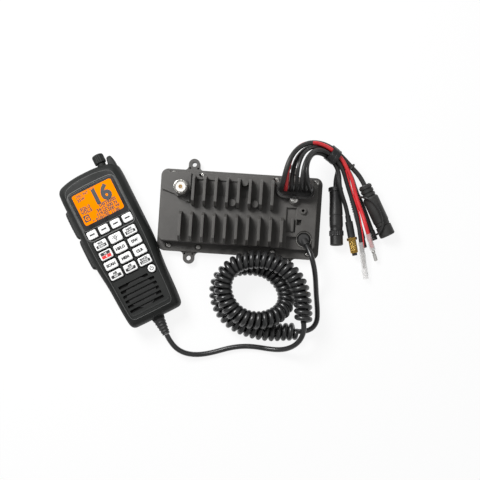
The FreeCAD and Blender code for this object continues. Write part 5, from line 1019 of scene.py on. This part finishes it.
def screwShape(radius, height, dome, cross, depth, spin):
    # pan head: a polar grid, its top domed and cut by a cross that slopes to a point
    angle = np.arange(120) * tau / 120
    rings = [(0.0, 0.0), (radius * 0.985, 0.0), (radius, 0.12), (radius, height - dome)]
    rings += [(radius * r, height - dome * r ** 3) for r in np.linspace(0.98, 0.0, 34)]
    radii, z = (column[:, None] + 0 * angle for column in np.array(rings).T)
    x, y = radii * np.cos(angle), radii * np.sin(angle)
    u = np.abs(x * math.cos(spin) + y * math.sin(spin))
    v = np.abs(y * math.cos(spin) - x * math.sin(spin))
    arm = np.minimum(np.maximum(u - cross, v - cross * 0.3), np.maximum(v - cross, u - cross * 0.3))
    cut = depth * smoothStep(-arm, -0.05, 0.12) * (np.arange(len(rings)) > 3)[:, None]
    return gridShape(np.stack([x, y, z - cut], -1))


heads = [placed(screwShape(*screws["cover"], 0.5 + 1.7 * k), shift=spot)
         for k, spot in enumerate(screws["spots"])]
heads.append(placed(screwShape(*screws["gland"], 0.35), shift=screws["glandSpot"]))
addPiece("screw_heads", joined(heads), "screwSteel", stands=("cover_screws",))

socket = {
    "spot": (-67.0, 23.0, 25.0), "pitch": 1.06, "threadDepth": 0.24, "notchDepth": 0.7, "toothShare": 0.9,
    "barrel": ((0, 0), (7.4, 0), (7.4, 3.2), (7.55, 3.3), (7.7, 4.0), (7.7, 14.0), (7.35, 15.0), (6.1, 15.0),
               (5.85, 14.7), (5.85, 12.9), (0, 12.9)),
    "core": ((0, 3.4), (5.8, 3.4), (5.8, 13.3), (5.5, 13.6), (3.5, 13.6), (3.4, 13.1), (2.95, 13.1),
             (2.85, 13.75), (2.2, 13.75), (2.12, 12.5), (0, 12.5)),
}


def socketThread(angle, height):
    # one-start thread: the crest climbs by one pitch in a turn
    onThread = smoothStep(height, 3.6, 4.2) * smoothStep(14.2 - height, 0, 0.5)
    return socket["threadDepth"] * np.cos(tau * height / socket["pitch"] - angle) * onThread


barrel = turnedShape(evenProfile(socket["barrel"], 0.2), 240, socketThread)
x, y, z = barrel[0].T
radius, angle = np.hypot(x, y), np.arctan2(y, x)
eighth = np.mod(angle, tau / 8) * 8 / tau
notched = (radius > 6.3) & (z > 14.3) & (np.abs(eighth - 0.5) < 0.12)
barrel[0][:, 2] -= np.where(notched, socket["notchDepth"], 0.0)
toothed = (radius > 6.6) & (barrel[0][:, 2] > 13.4) & (np.cos(24 * angle) < -0.1)
barrel[0][:, :2] *= np.where(toothed, socket["toothShare"], 1.0)[:, None]
core = placed(turnedShape(socket["core"], 72), shift=socket["spot"])
addPiece("socket_core", core, "whiteInsulator", 25, stands=("antenna_socket_insulator",))
addPiece("socket_barrel", placed(barrel, shift=socket["spot"]), "nickel", stands=("antenna_socket_shell",))

glandBands = (  # outline: x, y, half width, half height, corner, steps; band: half width, low, high, chamfer
    ((61.5, 28.4, 18.9, 6.8, 6.7, 16), (0.8, 30.2, 31.9, 0.4)),
    ((61.5, 28.4, 21.0, 8.9, 8.8, 16), (0.55, 30.4, 31.35, 0.3)),
)
glandRim = joined([bandShape(evenOutline(softOutline(*line), 0.8), *band) for line, band in glandBands])
addPiece("gland_rim", glandRim, "blackRubber")

print("stage: connectors")
axes = {  # from where, towards where each connector runs; profiles below are (radius, distance along it)
    "plug": ((108.0, 38.1, 8.6), (113.6, -28.9, 8.6)), "coax": ((124.0, 6.5, 9.2), (135.8, -39.5, 6.6)),
    "red": ((148.2, -12.7, 13.4), (160.8, -43.5, 4.8)), "black": ((141.1, -23.0, 10.2), (150.4, -64.4, 4.6)),
    "cap": ((134.7, 30.8, 4.6), (157.7, -21.4, 4.6)),
}


def turnedAlong(axis, profile, step, steps, ripple=None):
    return alongAxis(turnedShape(evenProfile(profile, step), steps, ripple), *axes[axis])


def plugGrip(angle, height):
    # twenty flutes that stop short of both rims
    flute = (0.5 + 0.5 * np.cos(20 * angle)) ** 3
    return -0.45 * flute * smoothStep(height, 50.2, 50.9) * smoothStep(55.8 - height, 0, 0.7)


def nutGrip(angle, height):
    # crossing diagonal grooves on the barrel, flats on the flange
    band = smoothStep(height, 29.6, 30.0) * smoothStep(40.5 - height, 0, 0.4)
    left, right = np.cos(26 * angle + 2.4 * height), np.cos(26 * angle - 2.4 * height)
    flats = 0.4 * (height < 29.0) * smoothStep(np.cos(6 * angle), 0.2, -1.0)
    return 0.35 * band * (np.maximum(left, right) - 1) / 2 - flats


plugRing = ((0, 50), (7.9, 50), (8.35, 50.4), (8.35, 55.6), (7.9, 56), (0, 56))
addPiece("plug_ring_grip", turnedAlong("plug", plugRing, 0.3, 180, plugGrip), "leadRubber", body="plug_ring",
         stands=("plug_ring",), slot="black_rubber")
coaxNut = ((0, 25.65), (5.5, 25.65), (6.0, 26.0), (6.0, 28.6), (5.5, 29.0), (4.1, 29.1), (4.4, 29.5),
           (4.4, 43.2), (4.0, 43.6), (3.1, 43.6), (3.0, 43.0), (0, 43.0))
addPiece("coax_nut_brass", turnedAlong("coax", coaxNut, 0.25, 208, nutGrip), "brass", body="coax_nut",
         stands=("coax_nut",))
sleeve = {"radius": 3.3, "wall": 0.45, "crumple": 0.17, "redLength": 20.5, "blackLength": 43.0,
          "blackFlare": 0.1}


def sleeveShape(axis, length, seed, flare):
    # open soft tube: outside, rim and inside in one profile, its wall crumpled by slow waves
    outer = evenProfile([(sleeve["radius"], 0.3), (sleeve["radius"] + flare, length)], 0.6)
    inner = outer[::-1] - (sleeve["wall"], 0)

    def crumple(angle, height):
        wave = np.sin(2 * angle + height * 0.35 + seed) + 0.6 * np.sin(3 * angle - height * 0.55 + 2 * seed)
        wave = wave + 0.4 * np.sin(height * 0.9 + 4 * angle)
        return sleeve["crumple"] * wave * smoothStep(height, 0.5, 3.0) - 0.1
    return alongAxis(turnedShape(np.concatenate([outer, inner, outer[:1]]), 48, crumple), *axes[axis])


sleeves = [sleeveShape("red", sleeve["redLength"], 0.4, 0.0),
           sleeveShape("black", sleeve["blackLength"], 2.0, sleeve["blackFlare"])]
addPiece("crumpled_sleeves", joined(sleeves), "clearSleeve", stands=("terminal_sleeves",))

spade = {  # crimp barrel with two waists, flat blade with rolled edges
    "barrel": ((0, 17.5), (2.2, 17.5), (2.3, 18.0), (2.3, 19.4), (1.8, 20.0), (1.8, 21.2), (2.3, 21.8),
               (2.3, 23.6), (1.7, 25.0), (0, 25.0)),
    "blade": ((-1.1, 24.0), (1.1, 24.0), (2.0, 26.0), (2.0, 33.2), (1.3, 34.0), (-1.3, 34.0), (-2.0, 33.2),
              (-2.0, 26.0)),
    "halfThickness": 0.35, "rollX": 1.55, "rollSpan": (26.4, 32.8),
}
blade, bladeFaces = slabShape(np.array(spade["blade"]), -spade["halfThickness"], spade["halfThickness"])
spadeShapes = [turnedShape(evenProfile(spade["barrel"], 0.4), 28), (blade[:, [0, 2, 1]], bladeFaces)]
for side in (-1, 1):
    spadeShapes.append(slabShape(softOutline(side * spade["rollX"], 0.65, 0.45, 0.6, 0.3, 4),
                                 *spade["rollSpan"]))
addPiece("red_spade", alongAxis(joined(spadeShapes), *axes["red"]), "tinned", stands=("red_terminal",))
crimp = ((0, 12.0), (1.5, 12.0), (1.6, 15.0), (2.2, 15.4), (2.2, 18.4), (1.7, 19.0), (2.2, 19.6), (2.2, 24.0),
         (1.5, 24.6), (1.5, 30.6), (0, 31.0))
addPiece("black_crimp", turnedAlong("black", crimp, 0.5, 28), "tinned", stands=("black_terminal",))
for stubName, axis, end, finishName in (("black", "black", 12.0, "leadRubber"),
                                        ("red", "red", 17.4, "redJacket")):
    # insulated end of the lead inside its sleeve
    stub = ((0, 0), (2.25, 0), (2.25, end - 0.2), (2.0, end), (0, end))
    addPiece(stubName + "_stub", turnedAlong(axis, stub, 0.6, 24), finishName)

tape = {  # wrapped between two stations of the bundle, at a share of the way
    "from": (92.0, 76.8, 29.8), "to": (107.4, 67.6, 23.2), "share": 0.58, "inner": 7.55, "outer": 9.25,
    "length": 11.0, "lap": 5.2, "lobes": 7,
}


def tapeLaps(angle, height):
    # each lap's edge climbs with the angle; the wrap follows the leads beneath in soft lobes
    lap = np.mod(height / tape["lap"] - angle / tau, 1.0)
    return 0.28 * (1 - lap) - 0.25 + 0.12 * np.cos(tape["lobes"] * angle)


tapeFrom, tapeTo = np.array(tape["from"]), np.array(tape["to"])
tapeWay = (tapeTo - tapeFrom) / np.linalg.norm(tapeTo - tapeFrom)
tapeStart = tapeFrom * (1 - tape["share"]) + tapeTo * tape["share"] - tapeWay * tape["length"] / 2
tapeEnds = ((tape["inner"], 0), (tape["outer"], 0), (tape["outer"], tape["length"]),
            (tape["inner"], tape["length"]), (tape["inner"], 0))
tapeShape = alongAxis(turnedShape(evenProfile(tapeEnds, 0.22), 72, tapeLaps), tapeStart, tapeStart + tapeWay)
addPiece("tape_laps", tapeShape, "blackTape", 20, stands=("tape_wrap",))


def capGrip(angle, height):
    return -0.16 * (0.5 + 0.5 * np.cos(16 * angle)) * (height > 47.2) * (height < 53.6)


cap = ((0, 43.1), (4.1, 43.1), (4.4, 43.4), (4.4, 46.0), (4.15, 46.4), (4.4, 46.8), (4.4, 54.2), (3.9, 55.0),
       (0, 55.0))
addPiece("cap_ribbed", turnedAlong("cap", cap, 0.4, 60, capGrip), "leadGrey", stands=("capped_plug_cap",),
         slot="black_rubber")
strapThickness = 0.0024
strap = layCord("cap_strap", strapRoute, strapThickness, "leadRubber", 4, 8, slot="black_rubber")

# small flange moulded on the socketed lead, and the thin sense wire beside the black one
flange = turnedShape([(0, -0.9), (4.4, -0.9), (4.8, -0.5), (4.8, 0.5), (4.4, 0.9), (0, 0.9)], 32)
flangeEnds = np.array(leadRoutes["lead_joint"][9:11]) / mm
addPiece("lead_flange", alongAxis(flange, *flangeEnds), "leadGrey")
sense = {"thickness": 0.0016, "beside": (0.0028, 0.0008, 0.0012), "end": (0.1446, -0.0300, 0.0100)}
senseRoute = [tuple(np.add(point, sense["beside"])) for point in leadRoutes["lead_black"][9:]]
senseRoute.append(sense["end"])
senseWire = layCord("sense_wire", senseRoute, sense["thickness"], "redJacket", 3, 8)

bpy.context.view_layer.update()
print("stage: finished")
